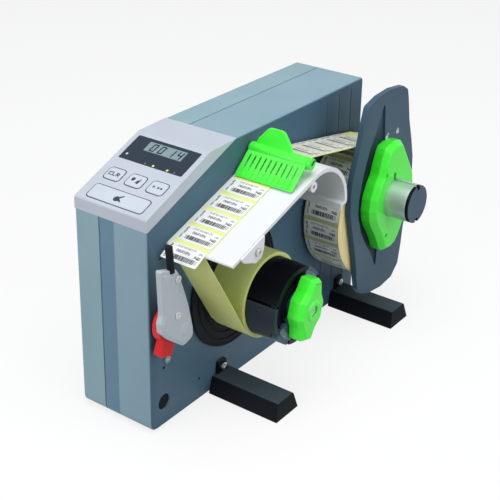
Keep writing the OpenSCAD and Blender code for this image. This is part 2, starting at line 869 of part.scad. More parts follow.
module indicator_lamps() {
    color("#e8e070")
        place()
            on_panel()
                for (share = lamp_y_shares)
                    translate([window_s + window_ledge + lamp_r * 1.5, window_y + window_w * share,
                        -board_depth])
                        cylinder(r = lamp_r, h = board_depth - window_t - slide_fit);
}
module panel_board() {
    color("#2f6b3f")
        place()
            on_panel()
                panel_slab(panel_t + over, window_s + window_l, panel_t + over,
                    panel_w - panel_t - over, -board_depth - board_t, -board_depth, over);
}
module key_switches() {
    color("#33373b")
        place()
            on_panel() {
                for (k = [0 : 2])
                    key_switch(small_key_s + small_key_l / 2, small_key_y(k) + small_key_w / 2);
                for (share = [0.25, 0.75])
                    key_switch(start_key_s + start_key_l / 2,
                        start_key_y() + start_key_w * share);
            }
}
module key_switch(s, y) {
    translate([s - switch_w / 2, y - switch_w / 2, -board_depth])
        cube([switch_w, switch_w, switch_h]);
}

module guide_plate() {
    color("#f4f5f5")
        place()
            difference() {
                union() {
                    along_y(-guide_w, 0)
                        polygon(concat(
                            arc(nose, nose_r, incline_normal + 180, incline_normal, arc_steps * 2),
                            arc(arch, arch_r, incline_normal, tail_angle, arch_steps * 2),
                            arc(arch, arch_r - guide_t, tail_angle, incline_normal,
                                arch_steps * 2)));
                    along_y(-guide_w, 0)
                        polygon(guide_tail());
                    for (s = [near_channel_s, far_channel_s])
                        guide_channel(s);
                }
                for (s = [near_channel_s, far_channel_s])
                    bar(channel_at(s), channel_bore_r, -guide_w - over, over);
            }
}
// Inward curl at the end of the arch
function guide_tail() = let (out = arch + polar(arch_r, tail_angle),
        x_in = arch[0] + arch_r - guide_t - tail_in)
    [[x_in, out[1]], [out[0] - guide_t / 2, out[1] + over], [out[0] - run_fit, out[1] + over],
        [out[0] - guide_t / 4, out[1] - tail_t],
        [x_in + tail_t, out[1] - tail_t], [x_in + tail_t, out[1] - tail_drop],
        [x_in, out[1] - tail_drop]];
module guide_channel(s) {
    centre = channel_at(s);
    bar(centre, channel_r, -guide_w, 0);
    neck = polar(channel_drop, incline_normal);
    side = turn(unit(neck)) * (channel_r / 2);
    along_y(-guide_w, 0)
        polygon([centre + side, centre - side, centre - side + neck, centre + side + neck]);
}
module guide_screws() {
    color("silver")
        place()
            for (s = [near_channel_s, far_channel_s])
                union() {
                    bar(channel_at(s), screw_r, -guide_screw_l, chassis_y + over);
                    bar(channel_at(s), screw_head_r, chassis_y, chassis_y + screw_head_h);
                }
}
module guide_tab() {
    color("#f0f1f2")
        place()
            difference() {
                union() {
                    bar(channel_at(near_channel_s), tab_r, -guide_w - tab_t, -guide_w);
                    along_y(-guide_w - tab_t, -guide_w)
                        polygon([web_point(near_channel_s - tab_r, -channel_drop - guide_t / 2),
                            web_point(near_channel_s + tab_r, -channel_drop - guide_t / 2),
                            web_point(near_channel_s + tab_r * 1.4, 0),
                            web_point(near_channel_s - tab_r * 1.4, 0)]);
                }
                bar(channel_at(near_channel_s), screw_r + slide_fit, -guide_w - tab_t - over,
                    over - guide_w);
            }
}
module tab_screw() {
    color("silver")
        place()
            difference() {
                union() {
                    bar(channel_at(near_channel_s), screw_head_r, -guide_w - tab_t - screw_head_h,
                        -guide_w - tab_t);
                    bar(channel_at(near_channel_s), screw_r, -guide_w - tab_t - over,
                        guide_screw_l - guide_w);
                }
                hex_bar(channel_at(near_channel_s), screw_r, -guide_w - tab_t - screw_head_h - over,
                    -guide_w - tab_t - screw_head_h / 2);
            }
}

module comb_rod() {
    color("silver")
        place() {
            bar(comb_hub, comb_rod_r, -comb_y - comb_w - rod_tip, chassis_y + nut_h);
            hex_bar(comb_hub, nut_r, chassis_y, chassis_y + nut_h);
        }
}
module hold_down_comb() {
    side = -turn(comb_dir);
    color("#3fe02a")
        place()
            difference() {
                union() {
                    bar(comb_hub, comb_tube_r, -comb_y - comb_w, -comb_y);
                    along_y(-comb_y - comb_w, -comb_y)
                        polygon([comb_hub + side * (comb_tube_r - finger_t),
                            comb_hub + side * comb_tube_r,
                            comb_tip + side * tip_t,
                            comb_tip,
                            comb_hub + comb_dir * comb_tube_r]);
                    thumb_tab();
                }
                bar(comb_hub, comb_rod_r + run_fit, -comb_y - comb_w - over, over);
                for (i = [1 : finger_count - 1])
                    translate([comb_hub[0], -comb_y - i * comb_w / finger_count - slot_w / 2,
                        comb_hub[1]])
                        rotate([0, -atan2(comb_dir[1], comb_dir[0]), 0])
                            translate([finger_root, 0, -comb_tube_r * 2])
                                cube([comb_l - finger_root - finger_t, slot_w, comb_tube_r * 4]);
            }
}
// Sloping thumb tab on top of the tube
module thumb_tab() {
    base = -comb_y - comb_w;
    translate([comb_hub[0], base, comb_hub[1]])
        rotate([0, 12, 0])
            translate([thumb_t / 2, 0, 0])
                rotate([0, -90, 0])
                    linear_extrude(thumb_t)
                        polygon(rounded([[0, comb_w * (1 - thumb_base_shares[1])],
                            [thumb_h, comb_w * (1 - thumb_top_shares[1])],
                            [thumb_h, comb_w * (1 - thumb_top_shares[0])],
                            [0, comb_w * (1 - thumb_base_shares[0])]],
                            [0, thumb_corner_r, thumb_corner_r, 0]));
}

module label_web() {
    inner = web_face(soft_gap);
    outer = web_face(soft_gap + liner_t);
    color("#e6e3a8")
        place()
            along_y(-web_y - liner_w, -web_y)
                polygon(concat(inner, [for (i = [len(outer) - 1 : -1 : 0]) outer[i]]));
}
module web_labels() {
    color("white")
        place() {
            for (k = [0 : label_count - 1])
                label_on_web(first_label_s + k * label_pitch);
            loose_label();
        }
}
module label_on_web(s) {
    low = [for (i = [0 : label_steps]) web_point(s + label_l * i / label_steps, label_lift)];
    high = [for (i = [label_steps : -1 : 0])
        web_point(s + label_l * i / label_steps, label_lift + label_t)];
    along_y(-web_y - label_margin - label_w, -web_y - label_margin)
        polygon(concat(low, high));
}
// Label that has left the liner at the peel edge and points forward
module loose_label() {
    held = web_point(first_label_s + label_l - label_pitch, label_lift);
    edge = web_point(0, label_lift);
    out = turn(polar(1, incline_normal + droop_angle)) * (label_l - norm(held - edge));
    rise = polar(label_t, incline_normal);
    along_y(-web_y - label_margin - label_w, -web_y - label_margin)
        polygon([held, edge, edge + out, edge + out + rise, edge + rise, held + rise]);
}

module rewinder_block() {
    color("#8d9398")
        place()
            difference() {
                union() {
                    bar(rewinder, block_r, block_y, block_y + block_l);
                    bar(rewinder, block_flange_r, block_y, block_y + block_flange_t);
                }
                bar(rewinder, bearing_r, block_y - over, block_y + bearing_w);
                bar(rewinder, bearing_r - 2 * screw_r, block_y, block_y + block_l);
                bar(rewinder, bearing_r, block_y + block_l - bearing_w, block_y + block_l + over);
            }
}
module rewinder_bearings() {
    color("silver")
        place() {
            ring(rewinder, bearing_r - run_fit / 5, shaft_r + run_fit / 2, block_y,
                block_y + bearing_w);
            ring(rewinder, bearing_r - run_fit / 5, shaft_r + run_fit / 2,
                block_y + block_l - bearing_w, block_y + block_l);
        }
}
module rewinder_shaft() {
    color("#c9cdd0")
        place()
            difference() {
                bar(rewinder, shaft_r, -shaft_front, pulley_y + pulley_w + 2 * pulley_rim_t);
                bar(rewinder, knob_screw_r - over, -shaft_front - over, -shaft_front + guide_screw_l);
            }
}
module rewinder_flange() {
    color("#33404a")
        place()
            difference() {
                union() {
                    bar(rewinder, flange_r, -disc_y - disc_t, -disc_y);
                    ring(rewinder, flange_r, flange_r - disc_t, -shell_y - disc_rim_h, -disc_y);
                }
                bar(rewinder, shaft_r, -disc_y - disc_t - over, 0);
                for (a = [75, 195, 315])
                    bar(rewinder + polar(flange_r - 3 * disc_notch_r, a), disc_notch_r,
                        -disc_y - disc_t - over, 0);
            }
}
// Half of a ring, on the side of the given direction
module half_ring(r_out, r_in, direction, gap, y0, y1) {
    difference() {
        ring(rewinder, r_out, r_in, y0, y1);
        along_y(y0 - over, y1 + over)
            polygon(moved(spun(slab(-2 * r_out, 2 * r_out, -2 * r_out, gap / 2), direction - 90),
                rewinder));
    }
}
module tab_sector(a, half, r0, r1, y0, y1) {
    intersection() {
        ring(rewinder, r1, r0, y0, y1);
        along_y(y0 - over, y1 + over)
            polygon([rewinder, rewinder + polar(3 * r1, a - half), rewinder + polar(3 * r1, a + half)]);
    }
}
module drum_shell(direction) {
    place()
        difference() {
            half_ring(drum_r, drum_r - drum_wall, direction, split_gap, -drum_reach,
                -shell_y - slide_fit);
            for (a = tab_angles)
                tab_sector(a, notch_half_angle, drum_r / 2, 2 * drum_r, -drum_reach - over,
                    -drum_reach + carrier_block_t + over / 2);
        }
}
module upper_drum_shell() {
    color("#16181b")
        drum_shell(split_angle - 90);
}
module lower_drum_shell() {
    color("#23282d")
        drum_shell(split_angle + 90);
}
module drum_carrier() {
    color("#5d6770")
        place()
            difference() {
                union() {
                    bar(rewinder, carrier_hub_r, -drum_reach, -shell_y);
                    bar(rewinder, carrier_r, -drum_reach + carrier_t, -drum_reach + 2 * carrier_t);
                    bar(rewinder, carrier_r, -shell_y - 2 * carrier_t, -shell_y - carrier_t);
                    for (a = tab_angles)
                        tab_sector(a, tab_half_angle, carrier_hub_r - over, drum_r, -drum_reach,
                            -drum_reach + carrier_block_t);
                    upper_shell_ribs();
                }
                bar(rewinder, shaft_r, -drum_reach - over, 0);
            }
}
// Ribs that carry the fixed upper half shell
module upper_shell_ribs() {
    for (y = [-drum_reach + carrier_t, -shell_y - 2 * carrier_t])
        tab_sector(split_angle - 90, 4 * tab_half_angle, carrier_r - over,
            drum_r - drum_wall - run_fit, y, y + carrier_t);
}
module wound_liner() {
    color("#cfd37a")
        place()
            ring(rewinder, wound_r, drum_r + soft_gap, -web_y - liner_w, -web_y);
}
function knob_outline(d) = let (side = [for (p = knob_points_share)
        [p[0] * knob_half_l, p[1] * knob_half_w]],
        right = [for (i = [len(side) - 1 : -1 : 0]) [side[i][0], side[i][1]]],
        half = concat(mirrored([for (p = side) [p[0], p[1]]]), []))
    moved(spun(rounded(inset(concat([for (p = side) p], half,
        [for (p = side) -p], [for (p = half) -p]), d), max(1, knob_corner_r - d)), knob_angle),
        rewinder);
module wing_knob() {
    color("#45e52e")
        place()
            difference() {
                hull() {
                    along_y(-knob_y - knob_t + knob_edge, -knob_y)
                        polygon(knob_outline(0));
                    along_y(-knob_y - knob_t, -knob_y)
                        polygon(knob_outline(knob_edge));
                }
                bar(rewinder, shaft_r + run_fit, -shaft_front - over, 0);
                bar(rewinder, knob_screw_r + slide_fit, -knob_y - knob_t - over, 0);
                bar(rewinder, knob_well_r, -knob_y - knob_t - over, -knob_y - knob_t + knob_well_d);
            }
}
module knob_screw() {
    color("silver")
        place()
            difference() {
                union() {
                    bar(rewinder, knob_well_r - slide_fit, -knob_y - knob_t + over / 2,
                        -knob_y - knob_t + knob_well_d);
                    bar(rewinder, knob_screw_r - over - run_fit, -knob_y - knob_t + over,
                        -shaft_front + guide_screw_l - over);
                }
                hex_bar(rewinder, screw_r, -knob_y - knob_t, -knob_y - knob_t + knob_well_d / 2);
            }
}

module pulley(at, r, bore, y) {
    difference() {
        union() {
            bar(at, r, y, y + pulley_w + 2 * pulley_rim_t);
            bar(at, r + pulley_rim, y, y + pulley_rim_t);
            bar(at, r + pulley_rim, y + pulley_w + pulley_rim_t, y + pulley_w + 2 * pulley_rim_t);
        }
        bar(at, bore, y - over, y + pulley_w + 2 * pulley_rim_t + over);
    }
}
module driven_pulley() {
    color("#d8dadb")
        place()
            pulley(rewinder, driven_pulley_r, shaft_r, pulley_y);
}
module motor_pulley() {
    color("#d8dadb")
        place() {
            pulley(motor, motor_pulley_r, motor_shaft_r - over, pulley_y);
            bar(motor, motor_shaft_r, chassis_y + motor_body_l - 2 * motor_shaft_r,
                pulley_y + pulley_w + 2 * pulley_rim_t);
        }
}
function belt_loop(extra) = let (r1 = driven_pulley_r + soft_gap + extra,
        r2 = motor_pulley_r + soft_gap + extra,
        left = normal_angle(rewinder, r1, motor, r2, 1),
        right = normal_angle(rewinder, r1, motor, r2, -1))
    concat(arc(rewinder, r1, left, right + 360, arch_steps * 2),
        arc(motor, r2, right, left, arch_steps));
module drive_belt() {
    middle = pulley_y + pulley_rim_t + pulley_w / 2;
    color("#17191b")
        place()
            difference() {
                along_y(middle - belt_w / 2, middle + belt_w / 2)
                    polygon(belt_loop(belt_t));
                along_y(middle - belt_w, middle + belt_w)
                    polygon(belt_loop(0));
            }
}
function motor_screw_points() = [for (dx = [-1, 1], dz = [-1, 1])
    motor + [dx, dz] * (motor_flange / 2 - motor_screw_inset)];
module gear_motor() {
    half = motor_flange / 2;
    color("#a7acb0")
        place()
            difference() {
                union() {
                    bar(motor, motor_r, chassis_y, chassis_y + motor_body_l);
                    along_y(chassis_y, chassis_y + motor_flange_t)
                        polygon(moved(rounded(slab(-half, half, -half, half), corner_r), motor));
                }
                bar(motor, motor_shaft_r + run_fit, chassis_y + motor_body_l - 2 * motor_shaft_r,
                    chassis_y + motor_body_l + over);
                for (p = motor_screw_points())
                    bar(p, screw_r + run_fit, chassis_y - over, chassis_y + motor_flange_t + over);
            }
}
module motor_screws() {
    top = chassis_y + motor_flange_t;
    color("silver")
        place()
            for (p = motor_screw_points())
                union() {
                    bar(p, screw_r, face_t, top + over);
                    bar(p, screw_head_r, top, top + screw_head_h);
                }
}

module sensor_post() {
    color("#9aa1a6")
        place() {
            bar(arm, post_r, -arm_y, chassis_y);
            bar(arm, spigot_r, -arm_y - arm_t - spigot_cap_t, 0);
            bar(arm, spigot_cap_r, -arm_y - arm_t - 2 * spigot_cap_t,
                -arm_y - arm_t - slide_fit);
            bar(arm, post_r + screw_r, chassis_y, chassis_y + nut_h);
        }
}
module sensor_arm() {
    color("#c6cbce")
        place()
            difference() {
                union() {
                    along_y(-arm_y - arm_t, -arm_y - slide_fit)
                        polygon(arm_outline);
                    bar(arm + rod_foot, rod_lug_r, -rod_mid_y - rod_r - rod_lug_wall,
                        -arm_y - slide_fit);
                }
                bar(arm, spigot_r + run_fit, -arm_y - arm_t - over, -arm_y + over);
                rod_bar(rod_r);
                for (p = arm_screw_points)
                    bar(arm + p, arm_screw_r / 2, -arm_y - arm_t - over, -arm_y - arm_t + arm_t / 2);
            }
}
// Bar along the sensor rod's line
module rod_bar(r) {
    foot_at = arm + rod_foot;
    run = rod_top - rod_foot;
    translate([foot_at[0], -rod_mid_y, foot_at[1]])
        rotate([0, atan2(run[0], run[1]), 0])
            cylinder(r = r, h = norm(run));
}
module sensor_rod() {
    color("#22272b")
        place()
            rod_bar(rod_r - run_fit);
}
module arm_screws() {
    color("silver")
        place()
            for (p = arm_screw_points)
                difference() {
                    union() {
                        bar(arm + p, arm_screw_r, -arm_y - arm_t - arm_screw_h, -arm_y - arm_t);
                        bar(arm + p, arm_screw_r / 2 - run_fit, -arm_y - arm_t - arm_screw_h / 2,
                            -arm_y - arm_t + arm_t / 3);
                    }
                    hex_bar(arm + p, arm_screw_r / 2, -arm_y - arm_t - arm_screw_h - over,
                        -arm_y - arm_t - arm_screw_h / 2);
                }
}
module clamp_lever() {
    tail = rounded(slab(0, clamp_tail_l, -clamp_tail_w / 2, clamp_tail_w / 2),
        [0, clamp_corner_r, clamp_corner_r, 0]);
    color("#d8232a")
        place()
            difference() {
                union() {
                    bar(arm, clamp_r, -clamp_y - clamp_t, -clamp_y);
                    along_y(-clamp_y - clamp_t, -clamp_y)
                        polygon(moved(spun(tail, clamp_tail_angle), arm));
                }
                bar(arm, post_r + run_fit, -clamp_y - clamp_t - over, 0);
            }
}

module spindle_tube() {
    color("#cdd0cf")
        place()
            difference() {
                ring(spindle, spindle_r, spindle_r - spindle_wall, -spindle_reach, face_t);
                translate([spindle_x - groove_w / 2, -spindle_reach - over,
                    spindle[1] + spindle_r - groove_d])
                    cube([groove_w, spindle_reach - web_y + over, groove_d + over]);
            }
}
module spindle_plug() {
    color("#8d9398")
        place()
            ring(spindle, spindle_r - spindle_wall, bolt_r, face_t - plug_l, face_t);
}
module spindle_bolt() {
    color("silver")
        place() {
            bar(spindle, bolt_r, face_t - plug_l, chassis_y + over);
            hex_bar(spindle, bolt_head_r, chassis_y, chassis_y + bolt_head_h);
        }
}
module spindle_cap() {
    notch = [cap_notch_w, cap_t + 2 * over, cap_notch_d + over];
    color("#55606a")
        place()
            difference() {
                union() {
                    bar(spindle, spindle_r, -spindle_reach - cap_t, -spindle_reach);
                    bar(spindle, spindle_r - spindle_wall, -spindle_reach - over,
                        -spindle_reach + cap_spigot);
                }
                translate([spindle_x - cap_notch_w / 2, -spindle_reach - cap_t - over,
                    spindle[1] + spindle_r - cap_notch_d])
                    cube([notch[0], cap_t + over, notch[2]]);
                translate([spindle_x - cap_notch_w / 2, -spindle_reach - cap_t - over,
                    spindle[1] - spindle_r - over])
                    cube([notch[0], cap_t + over, notch[2]]);
            }
}
module roll_core() {
    color("#b99a6b")
        place()
            ring(roll_centre, core_r + core_t, core_r, -roll_y - roll_w, -roll_y);
}
module label_roll() {
    color("#f3edb0")
        place()
            ring(roll_centre, roll_r, core_r + core_t, -roll_y - roll_w, -roll_y);
}
module margin_stop() {
    color("#46535f")
        place()
            difference() {
                union() {
                    along_y(-stop_y - stop_t, -stop_y)
                        polygon(moved(stop_outline(), spindle));
                    for (way = [-1, 1])
                        stop_ridge(way);
                }
                difference() {
                    bar(spindle, spindle_r + slide_fit, -hub_y - ridge_h - over, 0);
                    stop_key();
                }
                bar(spindle, hub_sweep_r, -hub_y - ridge_h - over, -hub_y);
            }
}
// Tongue that slides in the spindle's groove
module stop_key() {
    translate([spindle_x - groove_w / 2 + key_clear, -hub_y, spindle[1] + spindle_r - groove_d
        + key_clear])
        cube([groove_w - 2 * key_clear, stop_t, 2 * groove_d]);
}
// Raised facet that runs from the hub to the tip of the stop
module stop_ridge(way) {
    x = spindle_x - stop_half_w * ridge_share;
    tip_z = spindle[1] + way * stop_half_h * (1 - stop_tip_share);
    root_z = spindle[1] + way * hub_half_h * (1 - stop_tip_share);
    hull() {
        translate([x, -hub_y, tip_z])
            rotate([90, 0, 0])
                cylinder(r1 = ridge_h / 2, r2 = ridge_h / 4, h = ridge_h / 4, $fn = 16);
        translate([x, -hub_y, root_z])
            rotate([90, 0, 0])
                cylinder(r1 = ridge_h * 2, r2 = ridge_h / 4, h = ridge_h, $fn = 16);
        translate([x + stop_half_w / 3, -hub_y, root_z])
            rotate([90, 0, 0])
                cylinder(r = ridge_h, h = ridge_h / 8, $fn = 16);
    }
}
function hub_outline(d) = let (side = [for (p = hub_side_shares)
        [p[0] * hub_half_w, p[1] * hub_half_h]])
    rounded(inset(concat(side, mirrored(side)), d), hub_corner_r);
module lock_hub() {
    front = -hub_y - hub_gap - hub_t;
    color("#45e52e")
        place()
            difference() {
                hull() {
                    along_y(front + hub_t - hub_side_d, -hub_y - hub_gap)
                        polygon(moved(hub_outline(0), spindle));
                    along_y(front, -hub_y - hub_gap)
                        polygon(moved(hub_outline(hub_chamfer), spindle));
                }
                bar(spindle, spindle_r + slide_fit, front - over, 0);
                translate([spindle_x - hub_slot_w / 2, front - over, spindle[1]])
                    cube([hub_slot_w, hub_t + 2 * over, spindle_r + hub_slot_h]);
                for (p = hub_hole_shares)
                    bar(spindle + [p[0] * hub_half_w, p[1] * hub_half_h], hub_hole_r, front - over,
                        front + hub_side_d / 2);
            }
}

module board(area) {
    y = chassis_y + standoff_h;
    along_y(y, y + board_t)
        polygon(slab(area[0][0], area[1][0], area[0][1], area[1][1]));
}
// Block on a board, placed by shares of the board's area
module board_part(area, low_share, high_share, h) {
    y = chassis_y + standoff_h + board_t;
    size = area[1] - area[0];
    low = area[0] + [size[0] * low_share[0], size[1] * low_share[1]];
    high = area[0] + [size[0] * high_share[0], size[1] * high_share[1]];
    along_y(y, y + h)
        polygon(slab(low[0], high[0], low[1], high[1]));
}
module main_board() {
    color("#2f6b3f")
        place() {
            board(main_board_area);
            board_part(main_board_area, [0.3, 0.3], [0.5, 0.55], board_t * 2);
            board_part(main_board_area, [0.62, 0.15], [0.9, 0.3], board_t * 5);
            board_part(main_board_area, [0.1, 0.75], [0.6, 0.88], board_t * 5);
        }
}
module power_board() {
    color("#7a6a3a")
        place() {
            board(power_board_area);
            board_part(power_board_area, [0.1, 0.2], [0.5, 0.8], board_t * 15);
            board_part(power_board_area, [0.62, 0.25], [0.9, 0.7], board_t * 12);
        }
}
module power_inlet() {
    w = inlet_w + 2 * inlet_flange;
    h = inlet_h + 2 * inlet_flange;
    color("#1b1d20")
        place()
            difference() {
                union() {
                    translate([inlet[0] - inlet_w / 2, rear_y - inlet_d, inlet[1] - inlet_h / 2])
                        cube([inlet_w, inlet_d + inlet_flange_t, inlet_h]);
                    along_y(rear_y, rear_y + inlet_flange_t)
                        polygon(moved(rounded(slab(-w / 2, w / 2, -h / 2, h / 2), corner_r), inlet));
                }
                difference() {
                    translate([inlet[0] - inlet_w / 2 + inlet_well, rear_y - inlet_d + inlet_well,
                        inlet[1] - inlet_h / 2 + inlet_well])
                        cube([inlet_w - 2 * inlet_well, inlet_d + inlet_flange_t,
                            inlet_h - 2 * inlet_well]);
                    for (dx = [-1, 0, 1])
                        translate([inlet[0] + dx * inlet_w / 4 - over / 2, rear_y - inlet_d,
                            inlet[1] - 2 * over + (dx == 0 ? 2 * over : 0)])
                            cube([over, inlet_d - inlet_flange, 4 * over]);
                }
            }
}
module power_switch() {
    w = switch_body_w + inlet_flange;
    h = switch_body_h + inlet_flange;
    color("#1b1d20")
        place()
            difference() {
                union() {
                    translate([switch_at[0] - switch_body_w / 2, rear_y - switch_d,
                        switch_at[1] - switch_body_h / 2])
                        cube([switch_body_w, switch_d, switch_body_h]);
                    along_y(rear_y, rear_y + inlet_flange_t / 2)
                        polygon(moved(rounded(slab(-w / 2, w / 2, -h / 2, h / 2), over),
                            switch_at));
                }
                translate([switch_at[0] - rocker_w / 2 - over, rear_y - rocker_depth - over,
                    switch_at[1] - rocker_h / 2 - over / 2])
                    cube([rocker_w + 2 * over, rocker_depth + inlet_flange_t + over, rocker_h + over]);
                rocker_pin(switch_body_w - 2 * over, rocker_pin_r + run_fit);
            }
}
module rocker_pin(l, r) {
    translate([switch_at[0] - l / 2, rear_y - rocker_depth / 2, switch_at[1]])
        rotate([0, 90, 0])
            cylinder(r = r, h = l);
}
module power_rocker() {
    half = rocker_h / 2 - over / 2;
    color("#2b2e31")
        place() {
            translate([switch_at[0] - rocker_w / 2, rear_y - rocker_depth / 2, switch_at[1]])
                rotate([90, 0, 90])
                    linear_extrude(rocker_w)
                        polygon([[-rocker_depth / 4, -half / 2], [-rocker_depth / 4, half / 2],
                            [rocker_depth / 2, half], [rocker_depth / 2 + rocker_proud / 4, 0],
                            [rocker_depth / 2, -half]]);
            rocker_pin(switch_body_w - 2 * over - slide_fit, rocker_pin_r);
        }
}

front_shell();
chassis_plate();
chassis_nuts();
rear_cover();
cover_screws();
rubber_pads();
left_foot();
right_foot();
face_screws();
control_panel();
display_window();
display();
indicator_lamps();
panel_board();
key_switches();
clear_key();
mode_key();
step_key();
start_key();
guide_plate();
guide_screws();
guide_tab();
tab_screw();
comb_rod();
hold_down_comb();
label_web();
web_labels();
wound_liner();
rewinder_block();
rewinder_bearings();
rewinder_shaft();
rewinder_flange();
drum_carrier();
upper_drum_shell();
lower_drum_shell();
wing_knob();
knob_screw();
driven_pulley();
drive_belt();
motor_pulley();
gear_motor();
motor_screws();
sensor_post();
sensor_arm();
sensor_rod();
arm_screws();
clamp_lever();
spindle_tube();
spindle_plug();
spindle_bolt();
spindle_cap();
roll_core();
label_roll();
margin_stop();
lock_hub();
main_board();
power_board();
power_inlet();
power_switch();
power_rocker();
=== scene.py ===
"""Looks of a bench-top label dispenser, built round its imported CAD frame.

Lengths in the tables below are millimetres in the housing's own layout: X from its left
end, Y back from its front face, Z up from its underside. place() turns them into metres
in the frame of the part.
"""

import json
import math

import bmesh
import bpy
from mathutils import Euler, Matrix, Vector

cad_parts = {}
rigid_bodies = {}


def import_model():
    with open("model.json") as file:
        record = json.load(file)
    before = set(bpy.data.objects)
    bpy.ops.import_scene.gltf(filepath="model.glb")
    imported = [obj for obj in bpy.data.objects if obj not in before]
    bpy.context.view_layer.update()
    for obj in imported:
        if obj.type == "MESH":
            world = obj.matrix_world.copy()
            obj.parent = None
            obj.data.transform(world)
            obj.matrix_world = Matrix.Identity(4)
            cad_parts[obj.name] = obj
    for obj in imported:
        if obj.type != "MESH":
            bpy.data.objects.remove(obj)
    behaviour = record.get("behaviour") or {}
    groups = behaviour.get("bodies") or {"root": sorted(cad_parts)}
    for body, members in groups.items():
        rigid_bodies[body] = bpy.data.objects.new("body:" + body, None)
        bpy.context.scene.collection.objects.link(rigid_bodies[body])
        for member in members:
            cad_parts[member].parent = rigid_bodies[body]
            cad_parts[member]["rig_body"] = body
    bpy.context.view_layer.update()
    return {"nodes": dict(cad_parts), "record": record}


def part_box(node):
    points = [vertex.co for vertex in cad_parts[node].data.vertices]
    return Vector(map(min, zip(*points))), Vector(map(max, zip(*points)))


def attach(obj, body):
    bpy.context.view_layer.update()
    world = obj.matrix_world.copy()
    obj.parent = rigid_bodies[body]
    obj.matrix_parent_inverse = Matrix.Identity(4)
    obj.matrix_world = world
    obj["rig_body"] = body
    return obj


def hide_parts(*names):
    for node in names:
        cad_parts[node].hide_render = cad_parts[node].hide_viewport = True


bl_info = {
    "name": "Label dispenser",
    "version": (1, 0, 0),
    "blender": (4, 5, 0),
    "location": "View3D > Sidebar > Dispenser",
    "description": "Builds the looks of a bench-top label dispenser round its frame",
    "category": "Object",
}

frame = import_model()
NODES = frame["nodes"]
MM = 0.001
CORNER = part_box("front_shell")[0]


def place(x, y, z):
    """Point of the housing's layout, in millimetres, as metres in the part's frame."""
    return CORNER + Vector((x, y, z)) * MM


def layout(point):
    """Point of the part's frame as millimetres of the housing's layout."""
    return (point - CORNER) / MM


def box_ends(node):
    """Low and high corners of a node's box, in the housing's layout."""
    return [layout(corner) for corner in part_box(node)]


def round_place(node):
    """Axis (x, z), radius, front and back of a round node that lies along Y."""
    low, high = box_ends(node)
    centre = (low + high) / 2
    return Vector((centre.x, centre.z)), (high.z - low.z) / 2, low.y, high.y


def polar(radius, degrees):
    """Point at a radius and an angle from the origin of the front view."""
    return Vector((math.cos(math.radians(degrees)), math.sin(math.radians(degrees)))) * radius


def arc(centre, radius, start, sweep, steps):
    """Points of an arc, both ends included, with its angles in degrees."""
    return [centre + polar(radius, start + sweep * k / steps) for k in range(steps + 1)]


# Sizes and colours that a user may change


class DispenserSizes(bpy.types.PropertyGroup):
    """Sizes of the pieces that are modelled here and not in the frame"""

    label_length: bpy.props.FloatProperty(
        name="Label length", description="Length of a label along the web",
        default=0.0185, min=0.005, unit="LENGTH")
    label_pitch: bpy.props.FloatProperty(
        name="Label pitch", description="Distance from one label to the next",
        default=0.023, min=0.006, unit="LENGTH")
    label_width: bpy.props.FloatProperty(
        name="Label width", description="Width of a label across the web",
        default=0.0384, min=0.01, unit="LENGTH")
    label_corner: bpy.props.FloatProperty(
        name="Label corner", description="Radius of a label's corners",
        default=0.0012, min=0.0002, unit="LENGTH")
    roll_layers: bpy.props.IntProperty(
        name="Roll layers", description="Layers that show on the side of the roll",
        default=26, min=4, max=60)
    liner_layers: bpy.props.IntProperty(
        name="Liner layers", description="Layers that show on the side of the wound liner",
        default=8, min=2, max=20)
    belt_teeth: bpy.props.IntProperty(
        name="Belt teeth", description="Teeth round the drive belt", default=84, min=20, max=160)
    edge_round: bpy.props.FloatProperty(
        name="Edge rounding", description="Rounding of the sharp edges of small parts",
        default=0.0003, min=0.0001, unit="LENGTH")


class DispenserColours(bpy.types.PropertyGroup):
    """Main colours of the dispenser"""

    housing: bpy.props.FloatVectorProperty(
        name="Housing", description="Paint of the front shell", subtype="COLOR",
        size=3, min=0, max=1, default=(0.235, 0.365, 0.445))
    # The front face's darker paint is painted shade: the face stands in shade beside the lit top
    # and left end
    face: bpy.props.FloatVectorProperty(
        name="Front face", description="Darker paint inside the front shell's edge",
        subtype="COLOR", size=3, min=0, max=1, default=(0.058, 0.128, 0.195))
    cover: bpy.props.FloatVectorProperty(
        name="Rear cover", description="Paint of the rear cover", subtype="COLOR",
        size=3, min=0, max=1, default=(0.250, 0.395, 0.450))
    panel: bpy.props.FloatVectorProperty(
        name="Control panel", description="Moulding of the control panel", subtype="COLOR",
        size=3, min=0, max=1, default=(0.520, 0.560, 0.640))
    green: bpy.props.FloatVectorProperty(
        name="Green parts", description="Comb, knob and lock hub", subtype="COLOR",
        size=3, min=0, max=1, default=(0.040, 0.930, 0.022))
    slate: bpy.props.FloatVectorProperty(
        name="Slate parts", description="Margin stop, drum flange and spindle cap",
        subtype="COLOR", size=3, min=0, max=1, default=(0.050, 0.098, 0.148))
    red: bpy.props.FloatVectorProperty(
        name="Clamp lever", description="Lever of the arm's clamp", subtype="COLOR",
        size=3, min=0, max=1, default=(0.720, 0.020, 0.022))
    liner: bpy.props.FloatVectorProperty(
        name="Liner", description="Glassine liner of the web", subtype="COLOR",
        size=3, min=0, max=1, default=(0.860, 0.950, 0.360))
    roll: bpy.props.FloatVectorProperty(
        name="Roll side", description="Paper edges on the side of the roll", subtype="COLOR",
        size=3, min=0, max=1, default=(0.950, 0.860, 0.480))


# Shader node groups and materials


